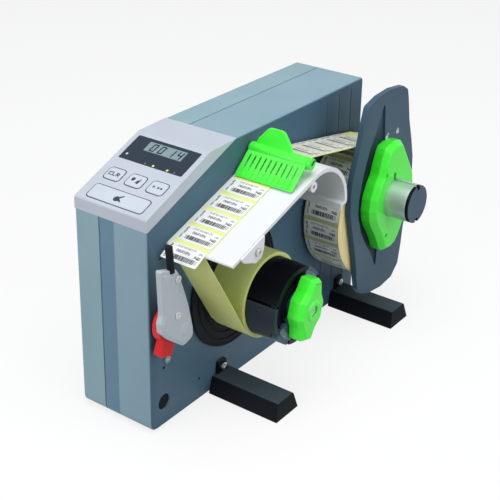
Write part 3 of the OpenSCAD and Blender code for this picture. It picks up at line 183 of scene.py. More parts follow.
class Tree:
    """Short way to add and link the nodes of one material or group."""

    def __init__(self, tree):
        self.tree = tree

    def add(self, kind, inputs=(), **settings):
        node = self.tree.nodes.new("ShaderNode" + kind)
        for key, value in settings.items():
            setattr(node, key, value)
        self.give(node, inputs)
        return node

    def give(self, node, inputs):
        """Links or sets a node's inputs."""
        for key, value in dict(inputs).items():
            self.feed(node.inputs[key], value)

    def feed(self, socket, value):
        if isinstance(value, bpy.types.NodeSocket):
            self.tree.links.new(value, socket)
        else:
            socket.default_value = value

    def at(self):
        """Place on the object, in metres of the part's frame."""
        return self.add("TexCoord").outputs["Object"]

    def split(self, vector):
        return self.add("SeparateXYZ", {0: vector}).outputs

    def math(self, operation, a, b=0.0, clamp=False):
        node = self.add("Math", {0: a, 1: b}, operation=operation, use_clamp=clamp)
        return node.outputs[0]

    def mix(self, factor, a, b, blend="MIX"):
        node = self.add("Mix", data_type="RGBA", blend_type=blend)
        colours = [socket for socket in node.inputs if socket.type == "RGBA"]
        self.feed(node.inputs[0], factor)
        self.feed(colours[0], a)
        self.feed(colours[1], b)
        return [socket for socket in node.outputs if socket.type == "RGBA"][0]

    def ramp(self, value, low, high, out_low=0.0, out_high=1.0):
        node = self.add("MapRange", {"Value": value, "From Min": low, "From Max": high,
                                     "To Min": out_low, "To Max": out_high})
        return node.outputs[0]

    def noise(self, at, scale, detail=2.0, roughness=0.5):
        node = self.add("TexNoise", {"Vector": at, "Scale": scale, "Detail": detail,
                                     "Roughness": roughness})
        return node.outputs[0]

    def relief(self, shader, height, strength, distance=0.0002):
        """Fine relief of a shader's surface."""
        bump = self.add("Bump", {"Height": height, "Strength": strength, "Distance": distance})
        self.feed(shader.inputs["Normal"], bump.outputs[0])


def node_group(name, inputs, outputs):
    """Empty group with named inputs (name, type, default) and outputs (name, type)."""
    tree = bpy.data.node_groups.new(name, "ShaderNodeTree")
    for label, kind, value in inputs:
        socket = tree.interface.new_socket(label, in_out="INPUT", socket_type=kind)
        socket.default_value = value
    for label, kind in outputs:
        tree.interface.new_socket(label, in_out="OUTPUT", socket_type=kind)
    given = tree.nodes.new("NodeGroupInput").outputs
    out = tree.nodes.new("NodeGroupOutput").inputs
    return Tree(tree), given, out


NUMBER, COLOUR = "NodeSocketFloat", "NodeSocketColor"


def build_grain():
    """Fine grain and slow unevenness of a moulded, painted or coated surface."""
    t, given, out = node_group(
        "Surface grain",
        [("Grain size", NUMBER, 900.0), ("Slow size", NUMBER, 14.0)],
        [("Height", NUMBER), ("Patches", NUMBER)])
    at = t.at()
    t.feed(out["Height"], t.noise(at, given["Grain size"], 3.0, 0.6))
    t.feed(out["Patches"], t.noise(at, given["Slow size"], 5.0, 0.55))
    return t.tree


def build_handling():
    """Colour with slow patches and with rubbed, slightly paler edges."""
    t, given, out = node_group(
        "Handled colour",
        [("Color", COLOUR, (0.5, 0.5, 0.5, 1.0)), ("Patches", NUMBER, 0.5),
         ("Unevenness", NUMBER, 0.06), ("Edge", NUMBER, 0.25)],
        [("Color", COLOUR)])
    edges = t.ramp(t.add("NewGeometry").outputs["Pointiness"], 0.52, 0.60)
    dark = t.mix(1.0, given["Color"], (0.72, 0.74, 0.76, 1.0), "MULTIPLY")
    share = t.math("MULTIPLY", t.ramp(given["Patches"], 0.35, 0.65), given["Unevenness"])
    uneven = t.mix(t.math("MULTIPLY", share, 4.0, clamp=True), given["Color"], dark)
    pale = t.mix(0.35, uneven, (0.9, 0.92, 0.94, 1.0))
    t.feed(out["Color"], t.mix(t.math("MULTIPLY", edges, given["Edge"]), uneven, pale))
    return t.tree


def build_rings():
    """Fine rings round an axis along Y, for turned metal and wound paper."""
    t, given, out = node_group(
        "Rings round an axis",
        [("Centre X", NUMBER, 0.0), ("Centre Z", NUMBER, 0.0), ("Per metre", NUMBER, 1500.0)],
        [("Wave", NUMBER), ("Uneven", NUMBER)])
    spot = t.split(t.at())
    dx = t.math("SUBTRACT", spot["X"], given["Centre X"])
    dz = t.math("SUBTRACT", spot["Z"], given["Centre Z"])
    radius = t.math("SQRT", t.math("ADD", t.math("MULTIPLY", dx, dx), t.math("MULTIPLY", dz, dz)))
    turns = t.math("MULTIPLY", radius, given["Per metre"])
    for label, along, detail in (("Wave", turns, 3.0),
                                 ("Uneven", t.math("MULTIPLY", turns, 0.07), 2.0)):
        noise = t.add("TexNoise", {"W": along, "Scale": 1.0, "Detail": detail},
                      noise_dimensions="1D")
        t.feed(out[label], noise.outputs[0])
    return t.tree


def build_block():
    """Mask of a printed block: 1 inside it and 0 outside, from a label's own coordinates."""
    t, given, out = node_group(
        "Printed block",
        [(label, NUMBER, value) for label, value in
         (("U", 0.0), ("V", 0.0), ("Left", 0.0), ("Right", 1.0), ("Top", 0.0), ("Bottom", 1.0))],
        [("Mask", NUMBER)])
    across = t.math("MULTIPLY", t.math("GREATER_THAN", given["U"], given["Left"]),
                    t.math("LESS_THAN", given["U"], given["Right"]))
    down = t.math("MULTIPLY", t.math("GREATER_THAN", given["V"], given["Top"]),
                  t.math("LESS_THAN", given["V"], given["Bottom"]))
    t.feed(out["Mask"], t.math("MULTIPLY", across, down))
    return t.tree


GROUPS = {}
MATERIALS = {}


def groups():
    if not GROUPS:
        GROUPS.update(grain=build_grain(), handling=build_handling(), rings=build_rings(),
                      block=build_block())
    return GROUPS


def rgba(colour):
    return (*tuple(colour)[:3], 1.0)


def shaded(colour, share):
    """Colour times a share, with full opacity."""
    return rgba([min(1.0, c * share) for c in tuple(colour)[:3]])


def empty_tree(owner):
    """Emptied node tree of a material or a world."""
    owner.use_nodes = True
    owner.node_tree.nodes.clear()
    return Tree(owner.node_tree)


def made_once(finish):
    """Makes a finish's material under its name the first time, and then hands it out."""
    def material_of(name, *values, **options):
        if name not in MATERIALS:
            MATERIALS[name] = bpy.data.materials.new(name)
            t = empty_tree(MATERIALS[name])
            shader = t.add("BsdfPrincipled")
            t.add("OutputMaterial", {"Surface": shader.outputs[0]})
            finish(t, shader, *values, **options)
        return MATERIALS[name]
    return material_of


@made_once
def solid_finish(t, shader, colour, roughness=0.4, grain=900.0, depth=0.15, uneven=0.10,
                 edge=0.25, gloss=0.5, metallic=0.0, slow=14.0):
    """Moulded, painted, coated or metal surface with grain and rubbed edges."""
    surface = t.add("Group", {"Grain size": grain, "Slow size": slow},
                    node_tree=groups()["grain"]).outputs
    base = colour(t) if callable(colour) else rgba(colour)
    handled = t.add("Group", {"Color": base, "Patches": surface["Patches"],
                              "Unevenness": uneven, "Edge": edge},
                    node_tree=groups()["handling"]).outputs
    t.give(shader, {
        "Base Color": handled["Color"], "Metallic": metallic, "Specular IOR Level": gloss,
        "Roughness": t.ramp(surface["Patches"], 0.3, 0.7, roughness * 0.85, roughness * 1.15)})
    t.relief(shader, surface["Height"], depth)


# Where the shell's painted shade begins, in millimetres: back from the face, in from the left end,
# and back to the strip before the seam; the strip's share of the housing's colour. Both are
# painted shade
SHADED_FACE_EDGE, END_EDGE, SHADED_STRIP_EDGE = (0.4, 1.0), (0.5, 1.5), (37.0, 38.2)
STRIP_PAINTED_SHADE = (0.50, 0.62, 0.72)
# Depths between which the lamps turn from pale to yellow, and back again
LIT_FROM, LIT_TO = (18, 19), (43, 44)


def depths(pair):
    """Two depths of the layout, in metres of the part's frame."""
    return [place(0, y, 0).y for y in pair]


def shell_colour_painted_shade(colours):
    """Housing paint with painted shade on its front face and on a strip beside the seam."""
    def pattern(t):
        spot = t.split(t.at())
        # Painted shade: the front face turns to the darker face colour, and the left end darkens
        # in the strip before the seam
        face = t.ramp(spot["Y"], *depths(SHADED_FACE_EDGE), 1.0, 0.0)
        end = t.ramp(spot["X"], *[place(x, 0, 0).x for x in END_EDGE], 1.0, 0.0)
        strip = t.math("MULTIPLY", end, t.ramp(spot["Y"], *depths(SHADED_STRIP_EDGE)))
        shade = t.mix(strip, rgba(colours.housing),
                      rgba([c * share for c, share in zip(colours.housing, STRIP_PAINTED_SHADE)]))
        return t.mix(face, shade, rgba(colours.face))
    return pattern


def lamp_colour(t):
    """Yellow on the two lamps that are lit, and pale grey on the outer two."""
    spot = t.split(t.at())
    lit = t.math("MULTIPLY", t.ramp(spot["Y"], *depths(LIT_FROM)),
                 t.ramp(spot["Y"], *depths(LIT_TO), 1.0, 0.0))
    return t.mix(lit, rgba((0.160, 0.200, 0.260)), rgba((0.860, 0.760, 0.140)))


def foot_colour_painted_sheen(t):
    """Black plastic of the feet, paler on the faces that look up as a painted sheen of the light
    above.
    """
    facing = t.split(t.add("NewGeometry").outputs["Normal"])
    return t.mix(t.ramp(facing["Z"], 0.7, 0.95), rgba((0.003, 0.005, 0.009)),
                 rgba((0.060, 0.085, 0.098)))


@made_once
def turned_finish(t, shader, colour, centre, per_metre, roughness, metallic, depth, contrast,
                  gloss=0.5):
    """Rings round an axis along Y, for turned metal and wound paper."""
    axis = place(centre.x, 0, centre.y)
    rings = t.add("Group", {"Centre X": axis.x, "Centre Z": axis.z, "Per metre": per_metre},
                  node_tree=groups()["rings"]).outputs
    both = t.math("ADD", t.math("MULTIPLY", rings["Wave"], 0.6),
                  t.math("MULTIPLY", rings["Uneven"], 0.4))
    dark = [c * (1 - contrast * (1 + k) / 2) for k, c in enumerate(tuple(colour)[:3])]
    t.give(shader, {
        "Base Color": t.mix(t.ramp(both, 0.35, 0.65), rgba(dark), rgba(colour)),
        "Roughness": t.ramp(both, 0.3, 0.7, roughness * 0.8, roughness * 1.2),
        "Metallic": metallic, "Specular IOR Level": gloss})
    t.relief(shader, rings["Wave"], depth)


@made_once
def paper_finish(t, shader, colour, roughness, see_through):
    """Glassine with faint fibres and cloudy patches, which lets some light through."""
    at = t.at()
    stretched = t.add("Mapping", {"Vector": at, "Scale": (1.0, 6.0, 1.0)}).outputs[0]
    fibres, clouds = t.noise(stretched, 500.0, 4.0), t.noise(at, 60.0, 3.0)
    both = t.math("ADD", t.math("MULTIPLY", fibres, 0.5), t.math("MULTIPLY", clouds, 0.5))
    t.give(shader, {
        "Base Color": t.mix(t.math("MULTIPLY", t.ramp(both, 0.35, 0.65), 0.5), rgba(colour),
                            shaded(colour, 0.82)),
        "Roughness": t.ramp(clouds, 0.3, 0.7, roughness * 0.85, roughness * 1.1),
        "Subsurface Weight": see_through, "Subsurface Radius": (0.002, 0.002, 0.0006),
        "Subsurface Scale": 0.5})
    t.relief(shader, fibres, 0.08, 0.0001)


# Printed blocks of a label: left, right, top, bottom, columns, rows, share that is dark
LABEL_BLOCKS = (
    (0.045, 0.105, 0.10, 0.90, 26, 64, 0.62),
    (0.170, 0.740, 0.07, 0.18, 130, 34, 0.42),
    (0.270, 0.650, 0.30, 0.46, 96, 34, 0.60),
    (0.840, 0.950, 0.17, 0.27, 120, 34, 0.48),
    (0.780, 0.950, 0.38, 0.54, 60, 22, 0.74),
)
# Bar pattern: its block, its bars and the share of them that is dark
BARCODE = (0.180, 0.930, 0.60, 0.86)
BARS, BAR_SHARE = 86, 0.66


@made_once
def printed_paper(t, shader, paper):
    """White label with generic unreadable lines and a bar pattern, from its own UVs."""
    print_at = t.split(t.add("UVMap", uv_map="print").outputs[0])
    u, v = print_at["X"], print_at["Y"]

    def block(*sides):
        values = zip(("U", "V", "Left", "Right", "Top", "Bottom"), (u, v, *sides))
        return t.add("Group", values, node_tree=groups()["block"]).outputs[0]

    def cells(along, count):
        return t.math("FLOOR", t.math("MULTIPLY", along, count))

    bar = t.add("TexWhiteNoise", {"W": cells(u, BARS)}, noise_dimensions="1D").outputs[0]
    ink = t.math("MULTIPLY", t.math("LESS_THAN", bar, BAR_SHARE), block(*BARCODE))
    for *sides, columns, rows, share in LABEL_BLOCKS:
        cell = t.add("CombineXYZ", {0: cells(u, columns), 1: cells(v, rows)}).outputs[0]
        spot = t.add("TexWhiteNoise", {"Vector": cell}, noise_dimensions="2D").outputs[0]
        mark = t.math("MULTIPLY", t.math("LESS_THAN", spot, share), block(*sides))
        ink = t.math("MAXIMUM", ink, mark)
    cloud = t.noise(t.at(), 300.0)
    base = t.mix(cloud, rgba(paper), shaded(paper, 0.95))
    t.give(shader, {
        "Base Color": t.mix(t.math("MULTIPLY", ink, 0.9), base, (0.030, 0.030, 0.040, 1.0)),
        "Roughness": t.ramp(cloud, 0.3, 0.7, 0.34, 0.46)})


@made_once
def card_finish(t, shader, colour, centre):
    """Cardboard tube wound from strips, with spiral seams."""
    at = t.at()
    spot = t.split(at)
    axis = place(centre.x, 0, centre.y)
    angle = t.math("ARCTAN2", t.math("SUBTRACT", spot["Z"], axis.z),
                   t.math("SUBTRACT", spot["X"], axis.x))
    climb = t.math("ADD", t.math("MULTIPLY", spot["Y"], 60.0),
                   t.math("MULTIPLY", angle, 0.5 / math.pi))
    seam = t.math("LESS_THAN", t.math("FRACT", climb), 0.05)
    fibre = t.noise(at, 700.0, 5.0)
    card = t.mix(fibre, rgba(colour), shaded(colour, 0.7))
    t.give(shader, {
        "Base Color": t.mix(t.math("MULTIPLY", seam, 0.6), card, shaded(colour, 0.4)),
        "Roughness": t.ramp(fibre, 0.3, 0.7, 0.75, 0.95)})
    t.relief(shader, fibre, 0.3, 0.0003)


@made_once
def circuit_finish(t, shader, colour):
    """Solder-masked board with faint copper tracks."""
    at = t.at()
    tracks = t.add("TexBrick", {"Vector": at, "Scale": 120.0, "Mortar Size": 0.05,
                                "Color1": (0, 0, 0, 1), "Color2": (0, 0, 0, 1),
                                "Mortar": (1, 1, 1, 1)}).outputs[0]
    t.give(shader, {
        "Base Color": t.mix(tracks, rgba(colour), shaded(colour, 1.9)),
        "Roughness": t.ramp(t.noise(at, 90.0), 0.3, 0.7, 0.25, 0.4), "Coat Weight": 0.4})


def pale_print():
    """Pale ink of the window's and the stop's marks."""
    return solid_finish("pale_print", (0.50, 0.56, 0.60), 0.4, depth=0.02)


def settings():
    scene = bpy.context.scene
    return scene.dispenser_sizes, scene.dispenser_colours


def finish_for(slot):
    """Material of a slot of the record."""
    _, colours = settings()
    # Colour, roughness, grain, depth, unevenness, worn edges, gloss, metal and slow grain
    solid = {
        "housing_paint": (shell_colour_painted_shade(colours), 0.5, 1500, 0.22, 0.05, 0.25, 0.2),
        "cover_paint": (colours.cover, 0.5, 1500, 0.22, 0.05, 0.25, 0.2),
        "panel_grey": (colours.panel, 0.5, 1100, 0.2, 0.05, 0.15, 0.2),
        "key_grey": ((0.56, 0.62, 0.70), 0.45, 1400, 0.12, 0.05, 0.1, 0.2),
        "window_smoke": ((0.020, 0.034, 0.052), 0.3, 300, 0.02, 0.04, 0.0, 0.15),
        "display_grey": ((0.225, 0.320, 0.345), 0.3, 1600, 0.03, 0.04, 0.0, 0.2),
        "lamp_yellow": (lamp_colour, 0.25, 300, 0.02, 0.1, 0.0, 0.3),
        "black_plastic": ((0.007, 0.010, 0.015), 0.5, 1000, 0.3, 0.1, 0.05, 0.05),
        "black_gloss": ((0.002, 0.003, 0.006), 0.3, 500, 0.03, 0.1, 0.05, 0.06),
        "black_rubber": ((0.016, 0.016, 0.017), 0.75, 1500, 0.5, 0.2, 0.1, 0.3),
        "white_coat": ((0.800, 0.815, 0.850), 0.42, 900, 0.06, 0.02, 0.0, 0.3),
        "steel": ((0.560, 0.570, 0.580), 0.28, 1200, 0.12, 0.1, 0.2, 0.5, 1.0),
        "zinc_sheet": ((0.520, 0.540, 0.550), 0.38, 160, 0.08, 0.2, 0.25, 0.5, 1.0, 45),
        "satin_aluminium": ((0.620, 0.640, 0.650), 0.36, 1300, 0.15, 0.1, 0.15, 0.5, 0.9),
        "green_plastic": (colours.green, 0.3, 1100, 0.08, 0.03, 0.3, 0.5),
        "red_plastic": (colours.red, 0.38, 1100, 0.08, 0.05, 0.1, 0.2),
        "slate_plastic": (colours.slate, 0.45, 1100, 0.14, 0.06, 0.12, 0.12),
    }
    if slot in solid:
        return solid_finish(slot, *solid[slot])
    finish, *values = {
        "circuit_green": (circuit_finish, (0.030, 0.150, 0.055)),
        "liner_paper": (paper_finish, colours.liner, 0.38, 0.6),
        "label_paper": (printed_paper, (0.860, 0.860, 0.860)),
        "roll_paper": (turned_finish, colours.roll, round_place("label_roll")[0], 2600, 0.6,
                       0.0, 0.35, 0.16),
        "core_card": (card_finish, (0.420, 0.290, 0.160), round_place("roll_core")[0]),
    }[slot]
    return finish(slot, *values)


NODE_SLOTS = {row["node"]: row["material_slot"] for row in frame["record"]["subparts"]}


# Mesh pieces


def linked(name, data):
    """New object of the scene that holds the data."""
    item = bpy.data.objects.new(name, data)
    bpy.context.scene.collection.objects.link(item)
    return item


def dressed(name, mesh, body, slot, smooth=None, material=None):
    """Piece of a mesh with its finish, which rides on its body."""
    piece = linked(name, mesh)
    mesh.materials.clear()
    mesh.materials.append(material or finish_for(slot))
    if smooth is not None:
        mesh.shade_smooth()
        mesh.set_sharp_from_angle(angle=math.radians(smooth))
    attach(piece, body)
    return piece


def fill_mesh(mesh, bm):
    """Puts a drawn body into a mesh, with its faces turned outwards."""
    bmesh.ops.recalc_face_normals(bm, faces=bm.faces)
    bm.to_mesh(mesh)
    bm.free()


def new_piece(name, verts, faces, body, slot, smooth=40, material=None):
    """Piece from points in metres and their faces."""
    mesh = bpy.data.meshes.new(name)
    mesh.from_pydata([tuple(v) for v in verts], [], faces)
    mesh.validate()
    bm = bmesh.new()
    bm.from_mesh(mesh)
    fill_mesh(mesh, bm)
    return dressed(name, mesh, body, slot, smooth, material)


def even_normals(piece):
    """Lets large flat faces set the shading, so rounded edges don't stain them."""
    weighted = piece.modifiers.new("even_normals", "WEIGHTED_NORMAL")
    weighted.keep_sharp = True
    weighted.weight = 80


# Degrees by which the faces at an edge of a CAD node differ where it is rounded, and under
# which they are taken for one flat face; metres under which two of its points are one
SHARP_ANGLE, FLAT_ANGLE, WELD = 32.0, 0.6, 2e-6


def rounded_copy(node, width=None, segments=2):
    """Copy of a CAD node with its sharp edges rounded, which stands for the node.

    width is in metres, and is that of small parts unless it is given.
    """
    sizes, _ = settings()
    source = NODES[node]
    bm = bmesh.new()
    bm.from_mesh(source.data)
    bmesh.ops.remove_doubles(bm, verts=bm.verts, dist=WELD)
    bmesh.ops.dissolve_limit(bm, angle_limit=math.radians(FLAT_ANGLE), verts=bm.verts,
                             edges=bm.edges)
    mesh = bpy.data.meshes.new(node + "_rounded")
    bm.to_mesh(mesh)
    bm.free()
    piece = dressed(node + "_rounded", mesh, source["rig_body"], NODE_SLOTS[node])
    mesh.shade_smooth()
    bevel = piece.modifiers.new("edges", "BEVEL")
    bevel.width = width or sizes.edge_round
    bevel.segments = segments
    bevel.limit_method = "ANGLE"
    bevel.angle_limit = math.radians(SHARP_ANGLE)
    bevel.miter_outer = "MITER_ARC"
    even_normals(piece)
    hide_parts(node)
    return piece


def finish_nodes(*names):
    """Gives CAD nodes that stay their finish, with smooth shading kept as imported."""
    for name in names:
        node = NODES[name]
        node.data.materials.clear()
        node.data.materials.append(finish_for(NODE_SLOTS[name]))


def ring_faces(rings, n, closed=True):
    """Faces between rings of n points each, the last joined to the first where closed."""
    faces = []
    for k in range(rings if closed else rings - 1):
        here, there = k * n, (k + 1) % rings * n
        for i in range(n):
            j = (i + 1) % n
            faces.append((here + i, here + j, there + j, there + i))
    return faces


def stacked(stacks):
    """Points and faces of closed bodies, each a stack of rings with flat ends."""
    verts, faces = [], []
    for rings in stacks:
        base, n = len(verts), len(rings[0])
        verts += [point for ring in rings for point in ring]
        last = base + (len(rings) - 1) * n
        faces += [tuple(base + i for i in face) for face in ring_faces(len(rings), n, False)]
        faces += [tuple(first + i for i in range(n)) for first in (base, last)]
    return verts, faces


def swept_band(inner, outer, y0, y1, steps):
    """Closed band between two front-view lines from depth y0 to y1, as points and faces."""
    loop = list(inner) + list(reversed(outer))
    n = len(loop)
    verts = [place(p.x, y0 + (y1 - y0) * k / steps, p.y) for k in range(steps + 1)
             for p in loop]
    faces = ring_faces(steps + 1, n, closed=False)
    for base in (0, steps * n):
        faces += [(base + i, base + i + 1, base + n - 2 - i, base + n - 1 - i)
                  for i in range(n // 2 - 1)]
    return verts, faces


def turned(name, centre, profile, steps, body, slot, smooth=40, material=None):
    """Piece turned round an axis along Y from a closed section of (radius, y) points."""
    verts = []
    for k in range(steps):
        for r, y in profile:
            p = polar(r, 360 * k / steps)
            verts.append(place(centre.x + p.x, y, centre.y + p.y))
    return new_piece(name, verts, ring_faces(steps, len(profile)), body, slot, smooth, material)


# Share of a side that a corner's arc may take up, half the angle in radians from which a
# corner counts as straight, and the least share of an inset that a sharp corner divides by
ARC_SHARE, STRAIGHT, MITRE = 0.48, 1.56, 0.35


def rounded_line(points, radii, steps=6):
    """Closed line whose corners are arcs of the given radii."""
    line = []
    for i, b in enumerate(points):
        r = radii[i] if isinstance(radii, (list, tuple)) else radii
        b = Vector(b)
        u, v = Vector(points[i - 1]) - b, Vector(points[(i + 1) % len(points)]) - b
        half = u.angle(v) / 2
        r = min(r, ARC_SHARE * min(u.length, v.length) * math.tan(half))
        u.normalize()
        v.normalize()
        if r <= 0 or half > STRAIGHT:
            line.append(b)
            continue
        centre = b + (u + v).normalized() * (r / math.sin(half))
        first = b + u * (r / math.tan(half)) - centre
        last = b + v * (r / math.tan(half)) - centre
        a0 = math.degrees(math.atan2(first.y, first.x))
        sweep = (math.degrees(math.atan2(last.y, last.x)) - a0 + 180) % 360 - 180
        line += arc(centre, r, a0, sweep, steps)
    return line


def circle_line(centre, radius, steps=48):
    """Closed circle of points in the front view."""
    return [Vector(centre) + polar(radius, 360 * k / steps) for k in range(steps)]


def inset_line(points, d):
    """Closed line moved inwards by d, or outwards where d is negative."""
    n = len(points)
    area = sum(points[i - 1].x * points[i].y - points[i].x * points[i - 1].y for i in range(n))
    side = 1 if area > 0 else -1
    moved = []
    for i, p in enumerate(points):
        a = (p - points[i - 1]).normalized()
        b = (points[(i + 1) % n] - p).normalized()
        na, nb = Vector((-a.y, a.x)) * side, Vector((-b.y, b.x)) * side
        middle = (na + nb).normalized()
        moved.append(p + middle * (d / max(MITRE, middle.dot(na))))
    return moved


def edge_profile(y_back, y_front, edge, steps=3):
    """Insets and depths of an outline whose two edges are rounded."""
    way = 1 if y_front > y_back else -1
    turns = [math.radians(90 * k / steps) for k in range(steps + 1)]
    back = [(edge * (1 - math.sin(a)), y_back + way * edge * (1 - math.cos(a))) for a in turns]
    front = [(d, y_front - way * abs(y - y_back)) for d, y in reversed(back)]
    return back + front


def milled(name, outline, profile, body, slot, through=(), blind=(), material=None, angle=40,
           at=None, ease=0.25):
    """Plate that follows a profile of (inset, depth) from back to front, with its holes.

    through holds closed lines and blind holds (closed line, depth) pairs, cut from the
    front. A hole's edges are eased a little. at(p, depth) gives a point's place, which
    is the front view unless it is given.
    """
    bm = bmesh.new()
    at = at or (lambda p, y: place(p.x, y, p.y))
    y_back, y_front = profile[0][1], profile[-1][1]
    way = 1 if y_front > y_back else -1

    def ring(line, y):
        return [bm.verts.new(at(p, y)) for p in line]

    def walls(rings):
        for a, b in zip(rings, rings[1:]):
            n = len(a)
            for i in range(n):
                bm.faces.new((a[i], a[(i + 1) % n], b[(i + 1) % n], b[i]))

    def cap(rings):
        edges = []
        for verts in rings:
            for i, v in enumerate(verts):
                w = verts[(i + 1) % len(verts)]
                edges.append(bm.edges.get((v, w)) or bm.edges.new((v, w)))
        bmesh.ops.triangle_fill(bm, use_beauty=True, edges=edges)

    rings = [ring(inset_line(outline, d), y) for d, y in profile]
    walls(rings)
    back, front = [rings[0]], [rings[-1]]
    for line in through:
        wide = inset_line(line, -ease)
        hole = [ring(wide, y_back), ring(line, y_back + way * ease),
                ring(line, y_front - way * ease), ring(wide, y_front)]
        walls(hole)
        back.append(hole[0])
        front.append(hole[-1])
    for line, depth in blind:
        hole = [ring(inset_line(line, -ease), y_front), ring(line, y_front - way * ease),
                ring(line, y_front - way * depth)]
        walls(hole)
        front.append(hole[0])
        bm.faces.new(hole[-1])
    cap(back)
    cap(front)
    mesh = bpy.data.meshes.new(name)
    fill_mesh(mesh, bm)
    piece = dressed(name, mesh, body, slot, angle, material)
    even_normals(piece)
    return piece


def section_line(node, y):
    """Widest run of joined edges where a CAD node meets the plane at depth y."""
    bm = bmesh.new()
    bm.from_mesh(NODES[node].data)
    cut = bmesh.ops.bisect_plane(bm, geom=bm.verts[:] + bm.edges[:] + bm.faces[:], dist=1e-7,
                                 plane_co=place(0, y, 0), plane_no=(0, 1, 0))["geom_cut"]
    links = {}
    for edge in (item for item in cut if isinstance(item, bmesh.types.BMEdge)):
        for v in edge.verts:
            links.setdefault(v, []).append(edge.other_vert(v))
    lines, left = [], dict.fromkeys(links)
    while left:
        following = [next(iter(left))]
        line = []
        while following:
            line.append(following[0])
            del left[following[0]]
            following = [w for w in links[line[-1]] if w in left]
        points = [layout(w.co) for w in line]
        lines.append([Vector((p.x, p.z)) for p in points])
    bm.free()
    return max(lines, key=lambda line: max(p.x for p in line) - min(p.x for p in line))


# Shares of a winding's layer that its groove takes up on each side, and of the unevenness
# that the groove is deep; turn and start of the waves in which layers end, front and back
LAYER_GAP, GROOVE_SHARE = 0.12, 0.6
LAYER_WAVES = ((2.39, 0.7), (1.71, 2.1))


def wound_profile(r_in, r_out, y0, y1, layers, jitter):
    """Section of a winding whose layers end a little unevenly on both sides."""
    step = (r_out - r_in) / layers
    gap = step * LAYER_GAP
    near, far = [], []
    for k in range(layers):
        shift, other = (jitter * (0.5 + 0.5 * math.sin(k * turn + start))
                        for turn, start in LAYER_WAVES)
        a, b = r_in + k * step, r_in + (k + 1) * step
        near += [(a + gap, y0 + shift), (b - gap, y0 + shift)]
        if k < layers - 1:
            near.append((b, y0 + shift + jitter * GROOVE_SHARE))
        far += [(a + gap, y1 - other), (b - gap, y1 - other)]
    return near + list(reversed(far))


# Path of the web, from the same values as the frame's source: centres and radii of the peel
# edge, the arch and the wound liner

NOSE, NOSE_R = Vector((26.7, 183.2)), 1.5
ARCH, ARCH_R = Vector((160.0, 181.8)), 44.0
WOUND_CENTRE, WOUND_R = Vector((120.2, 105.4)), 41.7
# How far the liner stands off the housing's face, and its width
WEB_Y, LINER_W = 3.4, 39.6
# Gap under the liner, thickness of the liner and of a label, and the gap between the two
SOFT_GAP, LINER_T, LABEL_T, LABEL_SEAT = 0.3, 0.5, 0.3, 0.1
# Where the first label on the incline starts, and how far the one before it droops, in degrees
FIRST_LABEL, DROOP = 6.5, 10.0
# Steps of the web's line: up to the peel edge, round it, and on to the roll
RISE_STEPS, NOSE_STEPS, RUN_STEPS = 24, 12, 120


def common_normal(c1, r1, c2, r2, side):
    """Angle of the line that touches two circles on the same side, in degrees."""
    d = c2 - c1
    return math.degrees(math.atan2(d.y, d.x) + side * math.acos((r1 - r2) / d.length))


class Web:
    """The web's line round the peel edge and the arch to the roll."""

    def __init__(self):
        self.roll, self.roll_r, _, _ = round_place("label_roll")
        self.incline = common_normal(NOSE, NOSE_R, ARCH, ARCH_R, 1)
        self.run = common_normal(ARCH, ARCH_R, self.roll, self.roll_r, 1)
        self.wound = common_normal(NOSE, NOSE_R, WOUND_CENTRE, WOUND_R, -1) + 360
        self.incline_start = NOSE + polar(NOSE_R, self.incline)
        self.arch_finish = ARCH + polar(ARCH_R, self.run)
        self.incline_l = (ARCH + polar(ARCH_R, self.incline) - self.incline_start).length
        self.arch_l = ARCH_R * math.radians(self.incline - self.run)
        self.run_l = (self.roll + polar(self.roll_r, self.run) - self.arch_finish).length

    def point(self, s, h):
        """Point at distance s from the peel edge and height h above the carrier."""
        if s <= self.incline_l:
            along = polar(1, self.incline - 90)
            return self.incline_start + along * s + polar(h, self.incline)
        if s <= self.incline_l + self.arch_l:
            angle = self.incline - math.degrees((s - self.incline_l) / ARCH_R)
            return ARCH + polar(ARCH_R + h, angle)
        along = polar(1, self.run - 90)
        return self.arch_finish + along * (s - self.incline_l - self.arch_l) + polar(h, self.run)

    def face(self, h):
        """Whole line of the web at height h, from the wound liner to the roll."""
        start = WOUND_CENTRE + polar(WOUND_R + h, self.wound)
        nose = NOSE + polar(NOSE_R + h, self.wound)
        line = [start + (nose - start) * k / RISE_STEPS for k in range(RISE_STEPS)]
        line += arc(NOSE, NOSE_R + h, self.wound, self.incline - self.wound, NOSE_STEPS)[:-1]
        return line + [self.point(self.length() * k / RUN_STEPS, h)
                       for k in range(RUN_STEPS + 1)]

    def length(self):
        """Way from the peel edge to the roll."""
        return self.incline_l + self.arch_l + self.run_l


# Spot of a label's own coordinates where it is bare paper
BARE_SPOT = (0.5, 0.02)


def label_sizes():
    """Length, width, pitch and corner radius of a label, in millimetres."""
    sizes, _ = settings()
    return [size / MM for size in (sizes.label_length, sizes.label_width, sizes.label_pitch,
                                   sizes.label_corner)]


